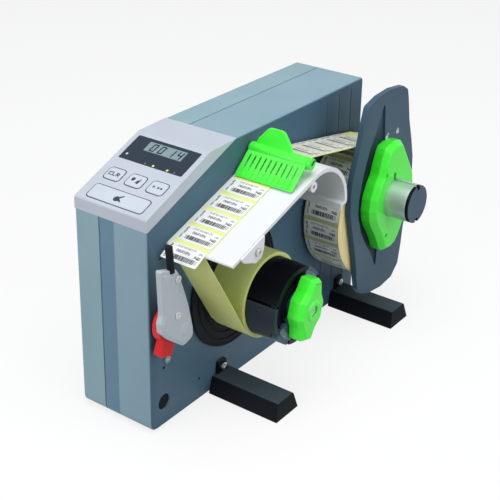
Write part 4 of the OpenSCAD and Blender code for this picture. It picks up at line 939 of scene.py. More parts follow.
def label_sheets(name, body, places, point_at, y0):
    """Labels as one mesh of thin sheets that follow point_at(s, h), with print UVs."""
    length, width, _, corner = label_sizes()
    pull = corner * (1 - math.sqrt(0.5))
    along, across = 8, 6
    bm = bmesh.new()
    uv = bm.loops.layers.uv.new("print")

    def inwards(step, steps, size, moved):
        """Distance of a step along a side, pulled in from its ends at a round corner."""
        return size * step / steps + (pull * ((step == 0) - (step == steps)) if moved else 0)

    def sheet(start, h):
        """Rows of a sheet's points, each with its place in the print."""
        rows = []
        for i in range(along + 1):
            rows.append([])
            for j in range(across + 1):
                round_end = i in (0, along) and j in (0, across)
                s = inwards(i, along, length, round_end)
                w = inwards(j, across, width, round_end)
                p = point_at(start + s, h)
                rows[-1].append((bm.verts.new(place(p.x, y0 - w, p.y)), w / width, s / length))
        return rows

    def quad(corners, printed=False):
        face = bm.faces.new([vert for vert, _, _ in corners])
        for loop, (_, u, v) in zip(face.loops, corners):
            loop[uv].uv = (u, 1 - v) if printed else BARE_SPOT

    rim = [(0, j) for j in range(across)] + [(i, across) for i in range(along)]
    rim += [(along, j) for j in range(across, 0, -1)] + [(i, 0) for i in range(along, 0, -1)]
    for start in places:
        top, under = sheet(start, LABEL_T), sheet(start, 0)
        for i in range(along):
            for j in range(across):
                quad((top[i][j], top[i][j + 1], top[i + 1][j + 1], top[i + 1][j]), True)
                quad((under[i + 1][j], under[i + 1][j + 1], under[i][j + 1], under[i][j]))
        for (i, j), (m, n) in zip(rim, rim[1:] + rim[:1]):
            quad((top[i][j], under[i][j], under[m][n], top[m][n]))
    mesh = bpy.data.meshes.new(name)
    fill_mesh(mesh, bm)
    return dressed(name, mesh, body, "label_paper", 40)


# Panel drawing in (up the slope, depth) millimetres: the slope in degrees, and the height of
# its lower end

PANEL_ANGLE, PANEL_LIP_Z = 22.0914, 214.1


def on_panel(s, y, n=0.0):
    """Point on the sloped panel: s up the slope, y back, n out of the surface."""
    a = math.radians(PANEL_ANGLE)
    return place(s * math.cos(a) - n * math.sin(a), y,
                 PANEL_LIP_Z + s * math.sin(a) + n * math.cos(a))


def panel_shape(name, outlines, low, high, body, slot, material=None):
    """Flat shapes of (s, y) points that stand from height low to high on the panel."""
    verts, faces = stacked([[[on_panel(s, y, h) for s, y in outline] for h in (low, high)]
                            for outline in outlines])
    return new_piece(name, verts, faces, body, slot, 30, material)


def rounded_box(box, radius, inset=0.0):
    """Outline of an (s0, s1, y0, y1) box on the panel, moved in and with round corners."""
    s0, s1, y0, y1 = box
    near_s, far_s = s0 + inset + radius, s1 - inset - radius
    near_y, far_y = y0 + inset + radius, y1 - inset - radius
    corners = ((far_s, far_y), (near_s, far_y), (near_s, near_y), (far_s, near_y))
    return [p for k, corner in enumerate(corners)
            for p in arc(Vector(corner), radius, 90 * k, 90, 6)]


def panel_frame(name, outer, inner, low, high, body, slot, material=None):
    """Ring between two outlines with the same number of points, on the panel."""
    verts = [on_panel(s, y, h) for line, h in ((outer, low), (inner, low), (inner, high),
                                               (outer, high)) for s, y in line]
    return new_piece(name, verts, ring_faces(4, len(outer)), body, slot, 30, material)


def strokes(lines, width, reading_at, reading_size):
    """Outlines of straight strokes drawn in reading coordinates (right, up) on the panel."""
    s0, y0 = reading_at
    shapes = []
    for (x1, z1), (x2, z2) in lines:
        a, b = Vector((x1, z1)) * reading_size, Vector((x2, z2)) * reading_size
        along = (b - a).normalized() * width / 2
        side = Vector((-along.y, along.x))
        corners = [a - along + side, a - along - side, b + along - side, b + along + side]
        shapes.append([(s0 + c.y, y0 - c.x) for c in corners])
    return shapes


# Strokes of a figure's segments and of letters, in reading coordinates (right, up)
SEGMENTS = {
    "a": ((0.1, 2.0), (0.9, 2.0)), "b": ((1.0, 1.9), (1.0, 1.1)), "c": ((1.0, 0.9), (1.0, 0.1)),
    "d": ((0.1, 0.0), (0.9, 0.0)), "e": ((0.0, 0.9), (0.0, 0.1)), "f": ((0.0, 1.9), (0.0, 1.1)),
    "g": ((0.1, 1.0), (0.9, 1.0)),
}
DIGITS = {"0": "abcdef", "1": "bc", "4": "fgbc"}
LETTERS = {
    "C": [((0.8, 1.0), (0.0, 1.0)), ((0.0, 1.0), (0.0, 0.0)), ((0.0, 0.0), (0.8, 0.0))],
    "L": [((0.0, 1.0), (0.0, 0.0)), ((0.0, 0.0), (0.7, 0.0))],
    "R": [((0.0, 0.0), (0.0, 1.0)), ((0.0, 1.0), (0.75, 1.0)), ((0.75, 1.0), (0.75, 0.5)),
          ((0.75, 0.5), (0.0, 0.5)), ((0.3, 0.5), (0.8, 0.0))],
}


class PieceOperator:
    """Shared settings of the operators that build the pieces."""

    bl_options = {"REGISTER", "UNDO"}

    def execute(self, context):
        self.build()
        return {"FINISHED"}


# Seam of the two shells: its depth and width, and how far its sides lie inside the shell
SEAM_Y, SEAM_W, SEAM_OUT, SEAM_IN = 55.5, 1.5, 0.02, 1.6
# Holes in the front face, each with a black disc inside as painted shade: place and radius
FACE_HOLES = (((18.5, 25.0), 7.8), ((19.1, 60.9), 1.6), ((69.8, 22.9), 1.6))


class DISPENSER_OT_housing(PieceOperator, bpy.types.Operator):
    """Front shell, rear cover, feet, pads and their screws"""

    bl_idname = "dispenser.housing"
    bl_label = "Housing"

    def build(self):
        for node in ("front_shell", "rear_cover"):
            rounded_copy(node, 0.0005)
        for node in ("left_foot", "right_foot"):
            foot = rounded_copy(node, 0.0012, segments=3)
            # The feet's tops are painted paler as a painted sheen
            foot.data.materials[0] = solid_finish(
                "foot_black", foot_colour_painted_sheen, 0.5, grain=1000, depth=0.3, edge=0.05, gloss=0.05)
        rounded_copy("rubber_pads", 0.0004)
        for node in ("cover_screws", "face_screws"):
            rounded_copy(node, 0.0002)
        finish_nodes("chassis_plate", "chassis_nuts")
        self.seam()
        # Black discs inside the face's holes: painted shade of their depths
        for k, (spot, r) in enumerate(FACE_HOLES):
            milled(f"hole_shade_disc_{k}", circle_line(spot, r - 0.05),
                   edge_profile(3.2, 0.5 + r * 0.08, 0.2), "housing", "black_plastic")

    def seam(self):
        """Dark strip just inside the front shell, at its joint with the rear cover."""
        line = section_line("front_shell", SEAM_Y - 0.9)
        outer, inner = inset_line(line, SEAM_OUT), inset_line(line, SEAM_IN)
        near, far = SEAM_Y - SEAM_W / 2, SEAM_Y + SEAM_W / 2
        verts = [place(p.x, y, p.y) for loop, y in ((outer, near), (inner, near), (inner, far),
                                                    (outer, far)) for p in loop]
        new_piece("shell_seam", verts, ring_faces(4, len(line)), "housing", "black_rubber", 30)


# Keys: body, place up the slope, depth, length up the slope and width
KEYS = {
    "clear_key": ("clear", 29.0, 56.7875, 14.0, 17.5),
    "mode_key": ("mode", 29.0, 32.1437, 14.0, 17.5),
    "step_key": ("step", 29.0, 7.5, 14.0, 17.5),
    "start_key": ("start", 4.5, 10.25, 16.0, 63.0),
}
# How far a key's top stands out of the panel
KEY_TOP = 0.6
# Outlines of the marks from a key's corner, up the slope and in depth: a roll with its tail
# and a hand, an arrow over two labels, and a disc with a strip and a lip
KEY_MARKS = {
    "mode_key": (circle_line((8.4, 12.2), 1.9, 18),
                 [(5.6, 12.6), (6.8, 13.9), (8.4, 11.4), (7.0, 10.6)],
                 [(4.3, 8.1), (8.6, 6.9), (7.4, 4.6), (4.1, 4.5)],
                 [(7.2, 5.6), (10.4, 5.0), (10.2, 4.0), (6.8, 4.4)]),
    "step_key": ([(5.6, 13.8), (8.8, 13.8), (7.2, 11.2)],
                 [(6.2, 9.0), (8.2, 9.0), (8.2, 6.9), (6.2, 6.9)],
                 [(6.2, 5.6), (8.2, 5.6), (8.2, 3.5), (6.2, 3.5)]),
    "start_key": (circle_line((6.6, 32.5), 3.1, 24),
                  [(7.8, 30.3), (11.2, 26.7), (12.2, 27.7), (9.2, 31.7)],
                  [(3.8, 27.5), (5.0, 26.9), (8.0, 30.1), (5.4, 30.7)]),
}
# Window and screen: from and to up the slope, then from and to in depth
WINDOW = (55.7347, 87.5347, 5.25, 78.25)
SCREEN = (70.6347, 85.6347, 17.25, 63.25)
# Digits: the unit they are drawn in, which is half their height, their stroke and lean, how
# far up the screen they stand, and their places from its far side
DIGIT_UNIT, DIGIT_STROKE, DIGIT_LEAN, DIGIT_BASE = 4.2, 1.3, 0.16, 3.3
DIGIT_PLACES = (7.0, 16.2, 27.6, 36.6)
# Lamps: place up the slope, depth and radius; then a lens's heights, and its radius's share
LAMPS = ((57.9, 14.5, 0.9), (57.9, 22.6, 1.3), (57.9, 38.6, 1.3), (57.9, 48.1, 0.9))
LENS = ((-6.9, 1.0), (-0.1, 1.0), (0.08, 0.8), (0.15, 0.4))


class DISPENSER_OT_panel(PieceOperator, bpy.types.Operator):
    """Control panel with its window, display, lamps and keys"""

    bl_idname = "dispenser.panel"
    bl_label = "Control panel"

    def build(self):
        rounded_copy("control_panel", 0.0012, segments=3)
        finish_nodes("panel_board", "key_switches")
        for node in KEYS:
            rounded_copy(node, 0.00035)
        self.window()
        self.screen()
        self.lamps()
        self.key_marks()

    def window(self):
        film = panel_frame("window_film", rounded_box(WINDOW, 1.5, 0.15),
                           rounded_box(SCREEN, 0.6, 1.2), -1.5, -0.05, "housing", "window_smoke")
        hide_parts("display_window")

    def screen(self):
        glass = panel_shape("screen_glass", [rounded_box(SCREEN, 1.0)], -7.0, -0.5, "housing",
                            "display_grey")
        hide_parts("display")
        foot, far_side = SCREEN[0] + DIGIT_BASE, SCREEN[3]
        shapes = []
        for digit, across in zip("0014", DIGIT_PLACES):
            lines = [[(x + z * DIGIT_LEAN, z) for x, z in SEGMENTS[name]]
                     for name in DIGITS[digit]]
            shapes += strokes(lines, DIGIT_STROKE, (foot, far_side - across), DIGIT_UNIT)
        panel_shape("screen_digits", shapes, -0.52, -0.42, "housing", "black_plastic")

    def lamps(self):
        verts, faces = stacked([[[on_panel(p.x, p.y, n)
                                  for p in circle_line((s, y), r * share, 20)]
                                 for n, share in LENS] for s, y, r in LAMPS])
        lenses = new_piece("lamp_lenses", verts, faces, "housing", "lamp_yellow")
        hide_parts("indicator_lamps")
        panel_shape("window_mark", [circle_line((62.5, 73.0), 1.3, 20)], -0.06, 0.02, "housing",
                    "window_smoke", pale_print())

    def key_marks(self):
        dark = solid_finish("dark_print", (0.020, 0.024, 0.030), 0.45, depth=0.03, edge=0.0)
        for node, (_, s, y, l, w) in KEYS.items():
            box = (s, s + l, y, y + w)
            panel_frame(f"{node}_outline", rounded_box(box, 3.9, -0.95),
                        rounded_box(box, 3.3, -0.32), -0.05, 0.07, "housing",
                        "black_plastic", dark)
        letters = [shape for k, letter in enumerate("CLR")
                   for shape in strokes(LETTERS[letter], 0.95, (5.0, 14.3 - 4.1 * k), 3.4)]
        for node, (body, s, y, _, _) in KEYS.items():
            shapes = [[(s + up, y + back) for up, back in shape]
                      for shape in KEY_MARKS.get(node, letters)]
            panel_shape(f"{node}_mark", shapes, KEY_TOP - 0.02, KEY_TOP + 0.05, body,
                        "black_plastic", dark)


# Corners of the guide's ear from its screw, down the incline and out of it, with their rounding
EAR_LINE = ((-21, 8.5, 0.5), (-19, 2.5, 5), (-9, -5.5, 6), (-5, -9.2, 5), (4, -9.4, 6),
            (9.5, -3, 7), (13, 6.0, 3), (13.5, 8.5, 0.5))


class DISPENSER_OT_guide(PieceOperator, bpy.types.Operator):
    """Peel and guide plate with its tab and screws"""

    bl_idname = "dispenser.guide"
    bl_label = "Guide plate"

    def build(self):
        rounded_copy("guide_plate", 0.0004)
        rounded_copy("tab_screw")
        finish_nodes("guide_screws")
        self.tab()

    def tab(self):
        """Ear that carries the near screw, with a broad root along the plate's edge."""
        incline = Web().incline
        _, _, y_front, y_back = round_place("guide_tab")
        screw = round_place("tab_screw")[0]
        along, up = polar(1, incline - 90), polar(1, incline)
        outline = rounded_line([screw + along * a + up * b for a, b, _ in EAR_LINE],
                               [r for _, _, r in EAR_LINE])
        ear = milled("guide_ear", outline, edge_profile(y_back, y_front, 0.6), "housing",
                     "white_coat", through=[circle_line(screw, 2.3)])
        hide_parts("guide_tab")


# Comb, from its rod's axis along the fingers: the slots' start and end, the grooves' end
COMB_ROOT, COMB_SLOT_END, COMB_GROOVE_END = 8.2, 21.5, 31.2
# Widths of a slot and a groove, a groove's depth, and the number of fingers between them
COMB_SLOT_W, COMB_GROOVE_W, COMB_GROOVE_D, COMB_FINGERS = 1.7, 0.9, 0.45, 11
# Radius and bore of the comb's tube, and the length of its end cap
COMB_TUBE_R, COMB_BORE, COMB_CAP = 6.0, 3.2, 3.5
# Height of the plate's top at its root, and its thickness at the tip and at the root
COMB_ROOT_H, COMB_TIP_T, COMB_PLATE_T = 3.9, 1.2, 2.2
# Corners of the slot on the tube's end cap, along the plate and square to it; the slot is a thin
# black sheet, painted shade
CAP_SLOT = ((-4.4, -1.2), (1.4, -1.2), (1.4, 1.2), (-4.4, 1.2))
# Where the fingers end, down the web from the end of the incline
COMB_TIP = 29.35
# Thumb tab: its height and lean, and its corners as shares of its height and of the width
THUMB_H, THUMB_LEAN = 22.6, 12.0
THUMB_LINE = ((0, 0.05, 0.5), (0.45, 0.10, 10), (1, 0.27, 6), (1, 0.53, 7), (0.42, 0.69, 12),
              (0, 0.76, 0.5))


class DISPENSER_OT_comb(PieceOperator, bpy.types.Operator):
    """Hold-down comb with its slots and thumb tab, and its rod"""

    bl_idname = "dispenser.comb"
    bl_label = "Comb"

    def build(self):
        low, high = box_ends("hold_down_comb")
        self.hub = round_place("comb_rod")[0]
        self.y0, self.width = high.y, high.y - low.y
        web = Web()
        tip = web.point(web.incline_l - COMB_TIP, SOFT_GAP * 2 + LINER_T + LABEL_SEAT + LABEL_T)
        self.along = (tip - self.hub).normalized()
        self.reach = (tip - self.hub).length
        self.side = Vector((self.along.y, -self.along.x))
        plate = self.plate()
        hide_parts("hold_down_comb")
        self.tube()
        self.thumb()
        rounded_copy("comb_rod")

    def on_plate(self, p, share):
        """Point p.x along the fingers and p.y across, share of the thickness up."""
        top = COMB_ROOT_H + (COMB_TIP_T - COMB_ROOT_H) * p.x / self.reach
        thick = COMB_PLATE_T + (COMB_TIP_T - COMB_PLATE_T) * p.x / self.reach
        q = self.hub + self.along * p.x + self.side * (top - thick * (1 - share))
        return place(q.x, self.y0 - p.y, q.y)

    def plate(self):
        pitch = self.width / COMB_FINGERS

        def gap(start, end, middle, wide):
            """Corners of a slot or groove between two fingers."""
            low, high = middle - wide / 2, middle + wide / 2
            return [(start, low), (end, low), (end, high), (start, high)]

        middles = [k * pitch for k in range(1, COMB_FINGERS)]
        slots = [rounded_line(gap(COMB_ROOT, COMB_SLOT_END, w, COMB_SLOT_W), 0.8, 4)
                 for w in middles]
        grooves = [(rounded_line(gap(COMB_SLOT_END + 0.9, COMB_GROOVE_END, w, COMB_GROOVE_W),
                                 0.4, 3), COMB_GROOVE_D) for w in middles]
        outline = rounded_line([(0, 0), (self.reach, 0), (self.reach, self.width),
                                (0, self.width)], [0.3, 1.5, 1.5, 0.3])
        profile = [(0.5, 0.0), (0.12, 0.12), (0, 0.35), (0, 0.65), (0.12, 0.88), (0.5, 1.0)]
        return milled("comb_plate", outline, profile, "comb", "green_plastic", through=slots,
                      blind=grooves, at=self.on_plate, ease=0.12)

    def tube(self):
        y0, y1 = self.y0, self.y0 - self.width
        r = COMB_TUBE_R
        profile = [(COMB_BORE, y0), (r - 0.8, y0), (r - 0.2, y0 - 0.3), (r, y0 - 1.0),
                   (r, y1 + 1.0), (r - 0.2, y1 + 0.3), (r - 0.8, y1), (COMB_BORE, y1)]
        turned("comb_tube", self.hub, profile, 64, "comb", "green_plastic")
        end = y1 - COMB_CAP
        milled("comb_end_cap", circle_line(self.hub, r - 0.3), edge_profile(y1, end, 0.6),
               "comb", "green_plastic")
        # Thin black sheet on the end cap: painted shade of a slot, not a cut
        slot = [self.hub + self.along * a + self.side * b for a, b in CAP_SLOT]
        milled("comb_cap_slot_shade", rounded_line(slot, 0.5, 2), [(0, end + 0.2), (0, end - 0.04)],
               "comb", "green_plastic", material=finish_for("black_plastic"))

    def thumb(self):
        lean = polar(1, 90 - THUMB_LEAN)
        across = Vector((lean.y, -lean.x))

        def on_tab(p, depth):
            q = self.hub + lean * p.x + across * depth
            return place(q.x, self.y0 - p.y, q.y)

        outline = rounded_line([(THUMB_H * a, self.width * b) for a, b, _ in THUMB_LINE],
                               [r for _, _, r in THUMB_LINE])
        milled("comb_thumb", outline, edge_profile(1.5, -1.5, 0.9), "comb", "green_plastic",
               at=on_tab)


class DISPENSER_OT_web(PieceOperator, bpy.types.Operator):
    """Liner, printed labels and the label at the peel edge"""

    bl_idname = "dispenser.web"
    bl_label = "Label web"

    def build(self):
        web = Web()
        verts, faces = swept_band(web.face(SOFT_GAP), web.face(SOFT_GAP + LINER_T),
                                  -WEB_Y - LINER_W, -WEB_Y, 8)
        liner = new_piece("liner_web", verts, faces, "housing", "liner_paper")
        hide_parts("label_web")
        self.labels(web)

    def labels(self, web):
        _, width, pitch, _ = label_sizes()
        lift = SOFT_GAP + LINER_T + LABEL_SEAT
        count = int((web.length() - FIRST_LABEL) / pitch)
        edge_y = -WEB_Y - (LINER_W - width) / 2
        starts = [FIRST_LABEL + k * pitch for k in range(count)]
        sheets = label_sheets("web_label_sheets", "housing", starts,
                              lambda s, h: web.point(s, lift + h), edge_y)
        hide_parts("web_labels")
        free = pitch - FIRST_LABEL
        out_along = polar(1, web.incline + DROOP + 90)
        edge = web.point(0, lift)

        def loose(s, h):
            """s runs from the free end down by the peel edge to the held end."""
            if s >= free:
                return web.point(s - free, lift + h)
            return edge + out_along * (free - s) + polar(h, web.incline)

        label_sheets("peeling_label", "housing", [0.0], loose, edge_y)


# Inner radius of the wound liner, and the lean of the knob's wings in degrees
WOUND_CORE_R, KNOB_ANGLE = 37.8, 74.0
# A quarter of the knob's outline: along the wings, across, and the corner's rounding
KNOB_SHAPE = ((29.8, 7.0, 3.2), (17.5, 11.2, 6.0), (8.5, 17.8, 4.5))
# Hollow of the knob's boss, and how deep it is
KNOB_HOLE_R, KNOB_HOLE_D = 5.2, 3.0
# Bore of the flange disc, and how far its two low rings stand behind the face
FLANGE_BORE, FLANGE_GROOVE = 6.05, 0.9
# Depth of the recess at the drum's front
RECESS = 5.0
# Middles of the drum's grip tabs, and how far each reaches to both sides, in degrees
TAB_MIDDLES, TAB_REACH = (50, 228), 21
# How far a tab's outer and inner edge lie inside the drum's radius
TAB_OUTER, TAB_INNER = 0.4, 6.4


class DISPENSER_OT_rewinder(PieceOperator, bpy.types.Operator):
    """Drum, wound liner, flange and wing knob"""

    bl_idname = "dispenser.rewinder"
    bl_label = "Rewinder"

    def build(self):
        sizes, _ = settings()
        centre, outer, y0, y1 = round_place("wound_liner")
        profile = wound_profile(WOUND_CORE_R, outer, y0, y1, sizes.liner_layers, 0.35)
        winding = turned("liner_winding", centre, profile, 160, "rewinder", "liner_paper")
        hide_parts("wound_liner")
        rounded_copy("upper_drum_shell", 0.0007, segments=3)
        # The lower shell is painted paler than the black upper one: painted light, for the light
        # it reflects
        lower = rounded_copy("lower_drum_shell", 0.0007, segments=3)
        lower.data.materials[0] = solid_finish("drum_slate", (0.020, 0.034, 0.045), 0.45,
                                               depth=0.1, edge=0.1, gloss=0.1)
        rounded_copy("drum_carrier", 0.0005)
        rounded_copy("knob_screw")
        finish_nodes("rewinder_shaft")
        self.flange()
        self.face_rings()
        self.tabs()
        self.knob()

    def flange(self):
        """Disc behind the web with its turned rings."""
        centre, r, front, back = round_place("rewinder_flange")
        face = front + 0.2
        groove = face + FLANGE_GROOVE
        profile = [(FLANGE_BORE, back), (r - 0.5, back), (r, back - 0.5), (r, front + 0.3),
                   (r - 0.3, front), (r - 2.2, front), (r - 2.4, face + 0.2),
                   (r - 7.0, face + 0.2), (r - 7.4, groove), (r - 9.4, groove),
                   (r - 9.8, face), (r - 14.6, face), (r - 15.0, groove), (r - 17.4, groove),
                   (r - 17.8, face), (FLANGE_BORE, face)]
        black = turned_finish("flange_black", (0.014, 0.020, 0.027), centre, 900, 0.5, 0.0, 0.2,
                              0.3, 0.04)
        disc = turned("ringed_flange", centre, profile, 192, "rewinder", "slate_plastic", 30,
                      black)
        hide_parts("rewinder_flange")

    def face_rings(self):
        """Rings in the recess at the drum's front."""
        centre, _, front, _ = round_place("drum_carrier")
        floor = front + RECESS
        profile = [(13.3, floor), (13.3, floor - 0.5), (19.5, floor - 0.5), (19.8, floor - 2.6),
                   (21.2, floor - 2.9), (21.6, floor - 0.6), (26.2, floor - 0.6),
                   (26.5, floor - 1.7), (27.6, floor - 1.9), (28.0, floor - 0.5),
                   (29.6, floor - 0.5), (29.6, floor)]
        turned("drum_face_rings", centre, profile, 128, "rewinder", "black_plastic", 30)

    def tabs(self):
        """Faces of the two grip tabs at the drum's front, in a paler grey that is painted light.
        """
        centre, r, front, _ = round_place("drum_carrier")
        # Paler than the carrier's slate: painted light on the tabs' faces
        grey = solid_finish("tab_grey", (0.120, 0.165, 0.200), 0.5, grain=1100, depth=0.14,
                            uneven=0.06, edge=0.2, gloss=0.2)
        for k, middle in enumerate(TAB_MIDDLES):
            line = arc(centre, r - TAB_OUTER, middle - TAB_REACH, 2 * TAB_REACH, 7)
            line += arc(centre, r - TAB_INNER, middle + TAB_REACH, -2 * TAB_REACH, 7)
            milled(f"drum_tab_{k}", rounded_line(line, 0.6, 2),
                   edge_profile(front - 0.03, front - 0.75, 0.3), "rewinder", "slate_plastic",
                   material=grey)

    def knob(self):
        axis, _, front, back = round_place("wing_knob")
        half = [*KNOB_SHAPE, *((-a, b, r) for a, b, r in reversed(KNOB_SHAPE))]
        corners = half + [(-a, -b, r) for a, b, r in half]
        along, across = polar(1, KNOB_ANGLE), polar(1, KNOB_ANGLE + 90)
        outline = rounded_line([axis + along * a + across * b for a, b, _ in corners],
                               [r for _, _, r in corners])
        profile = [(0.6, back), (0.15, back - 0.25), (0, back - 0.8), (0, front + 5.2),
                   (0.25, front + 4.2), (2.4, front + 0.9), (3.1, front + 0.25),
                   (4.1, front)]
        wing = milled("winged_knob", outline, profile, "knob", "green_plastic",
                      blind=[(circle_line(axis, KNOB_HOLE_R), KNOB_HOLE_D)], angle=28)
        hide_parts("wing_knob")
        boss = [(KNOB_HOLE_R, front + 2.9), (KNOB_HOLE_R, front - 1.0),
                (KNOB_HOLE_R + 0.4, front - 1.4), (8.4, front - 1.4), (9.3, front - 1.1),
                (10.8, front + 0.3), (10.8, front + 2.9)]
        turned("knob_boss", axis, boss, 72, "knob", "green_plastic", 50)


# Belt: how far its middle line lies inside the box round it, and the heights of its outside,
# and of its inside at the four points of a tooth, over that line
BELT_INSET, BELT_OUTSIDE, BELT_TOOTH = 1.6, 1.55, (0.75, 0.05, 0.05, 0.75)


class DISPENSER_OT_drive(PieceOperator, bpy.types.Operator):
    """Belt, pulleys, gear motor and bearing block behind the face"""

    bl_idname = "dispenser.drive"
    bl_label = "Drive"

    def build(self):
        finish_nodes("rewinder_block", "rewinder_bearings", "driven_pulley", "motor_pulley",
                     "gear_motor", "motor_screws")
        self.belt()

    def belt(self):
        sizes, _ = settings()
        c1, c2 = round_place("driven_pulley")[0], round_place("motor_pulley")[0]
        low, high = box_ends("drive_belt")
        r1, r2 = (c1.x - low.x) - BELT_INSET, (high.x - c2.x) - BELT_INSET
        a = common_normal(c1, r1, c2, r2, 1)
        b = common_normal(c1, r1, c2, r2, -1)
        span = (c2 - c1).length * math.sin(math.radians(a - b) / 2)
        lengths = [r1 * math.radians(360 - (a - b)), span, r2 * math.radians(a - b), span]
        total = sum(lengths)

        def at(s, h):
            s %= total
            if s < lengths[0]:
                return c1 + polar(r1 + h, a + math.degrees(s / r1))
            s -= lengths[0]
            if s < lengths[1]:
                p, q = c1 + polar(r1 + h, b), c2 + polar(r2 + h, b)
                return p + (q - p) * (s / lengths[1])
            s -= lengths[1]
            if s < lengths[2]:
                return c2 + polar(r2 + h, b + math.degrees(s / r2))
            s -= lengths[2]
            p, q = c2 + polar(r2 + h, a), c1 + polar(r1 + h, a)
            return p + (q - p) * (s / lengths[3])

        verts = []
        n = sizes.belt_teeth * len(BELT_TOOTH)
        for k in range(n):
            s = total * k / n
            inner, outer = at(s, BELT_TOOTH[k % len(BELT_TOOTH)]), at(s, BELT_OUTSIDE)
            verts += [place(p.x, y, p.y) for p, y in ((inner, low.y), (inner, high.y),
                                                      (outer, high.y), (outer, low.y))]
        belt = new_piece("toothed_belt", verts, ring_faces(n, 4), "housing", "black_rubber", 30)
        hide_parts("drive_belt")


# Bore of the stop and the hub on the spindle, and the wall of the roll's core
SPINDLE_BORE, CORE_WALL = 20.15, 2.5
# Angle on the roll where its first label starts, which carries on the web's row
ROLL_START = 79.4387
# Corners from the spindle, across and up, in millimetres: the stop's outline and its sunken
# facet, and further on the hub's outline
STOP_LINE = ((-37, 105), (-17, 110.5), (7, 112), (31, 109), (41, 103), (44, 93), (49, 68),
             (57, 43), (62.5, 22), (63.5, 4), (60, -22), (52, -58), (50, -77), (46, -99),
             (33, -111), (10, -113.5), (-16, -110), (-31, -104), (-38, -96), (-42, -80),
             (-46, -57), (-53, -32), (-60.5, -4), (-62, 18), (-60, 33), (-53, 54),
             (-47, 71.5), (-43, 87))
STOP_POCKET = ((-5, 101), (-18.5, 75), (-30, 57), (-39.5, 34), (-45.5, 9), (-45.5, -8),
               (-38, -30), (-27, -47), (-13, -66), (-4, -83), (-2, -52), (-14, -40), (-24, -21),
               (-26.5, 0), (-24, 21), (-13, 41), (0.5, 52))
# Lock marks: place across and up, and how far a mark's bow is shifted to stand open; the
# corners of a mark's body, the height of its bow's middle, and the bow's two radii
LOCK_MARKS = ((2.6, 62.0, 2.2), (24.4, 61.8, 0.0))
LOCK_BODY = ((-2.6, -2.4), (2.6, -2.4), (2.6, 1.8), (-2.6, 1.8))
BOW_UP, BOW_OUTER, BOW_INNER = 1.7, 2.1, 1.1
# Hub: the depth of its face, the rounding of its corners, and its outline
HUB_FACE, HUB_ROUND = -66.5, 12.0
HUB_LINE = ((-12.5, 57), (-16, 51), (-21, 39), (-24, 30), (-31, 21), (-37, 8), (-38.5, -5),
            (-36.5, -16), (-31, -26), (-24, -36), (-18, -46), (-15, -53), (-11.5, -58.5), (0, -61),
            (10, -58.5), (18, -52), (24, -43), (31, -32), (38, -21), (43, -9), (44.5, 3), (42, 17),
            (35, 29), (27, 41), (20, 52), (16, 57.5), (4, 60))
# Small holes of the hub: place and radius
HUB_HOLES = (((-17.0, 29.0), 2.3), ((-10.5, -39.5), 2.3))
# Key slot of the hub and notches of the cap: half their width, the slot's end and their depth
KEY_HALF, KEY_END, NOTCH_DEPTH = 2.4, 27.5, 4.0


def key_angle(radius):
    """Angle at the axis from the middle of a key slot to its side."""
    return math.degrees(math.asin(KEY_HALF / radius))


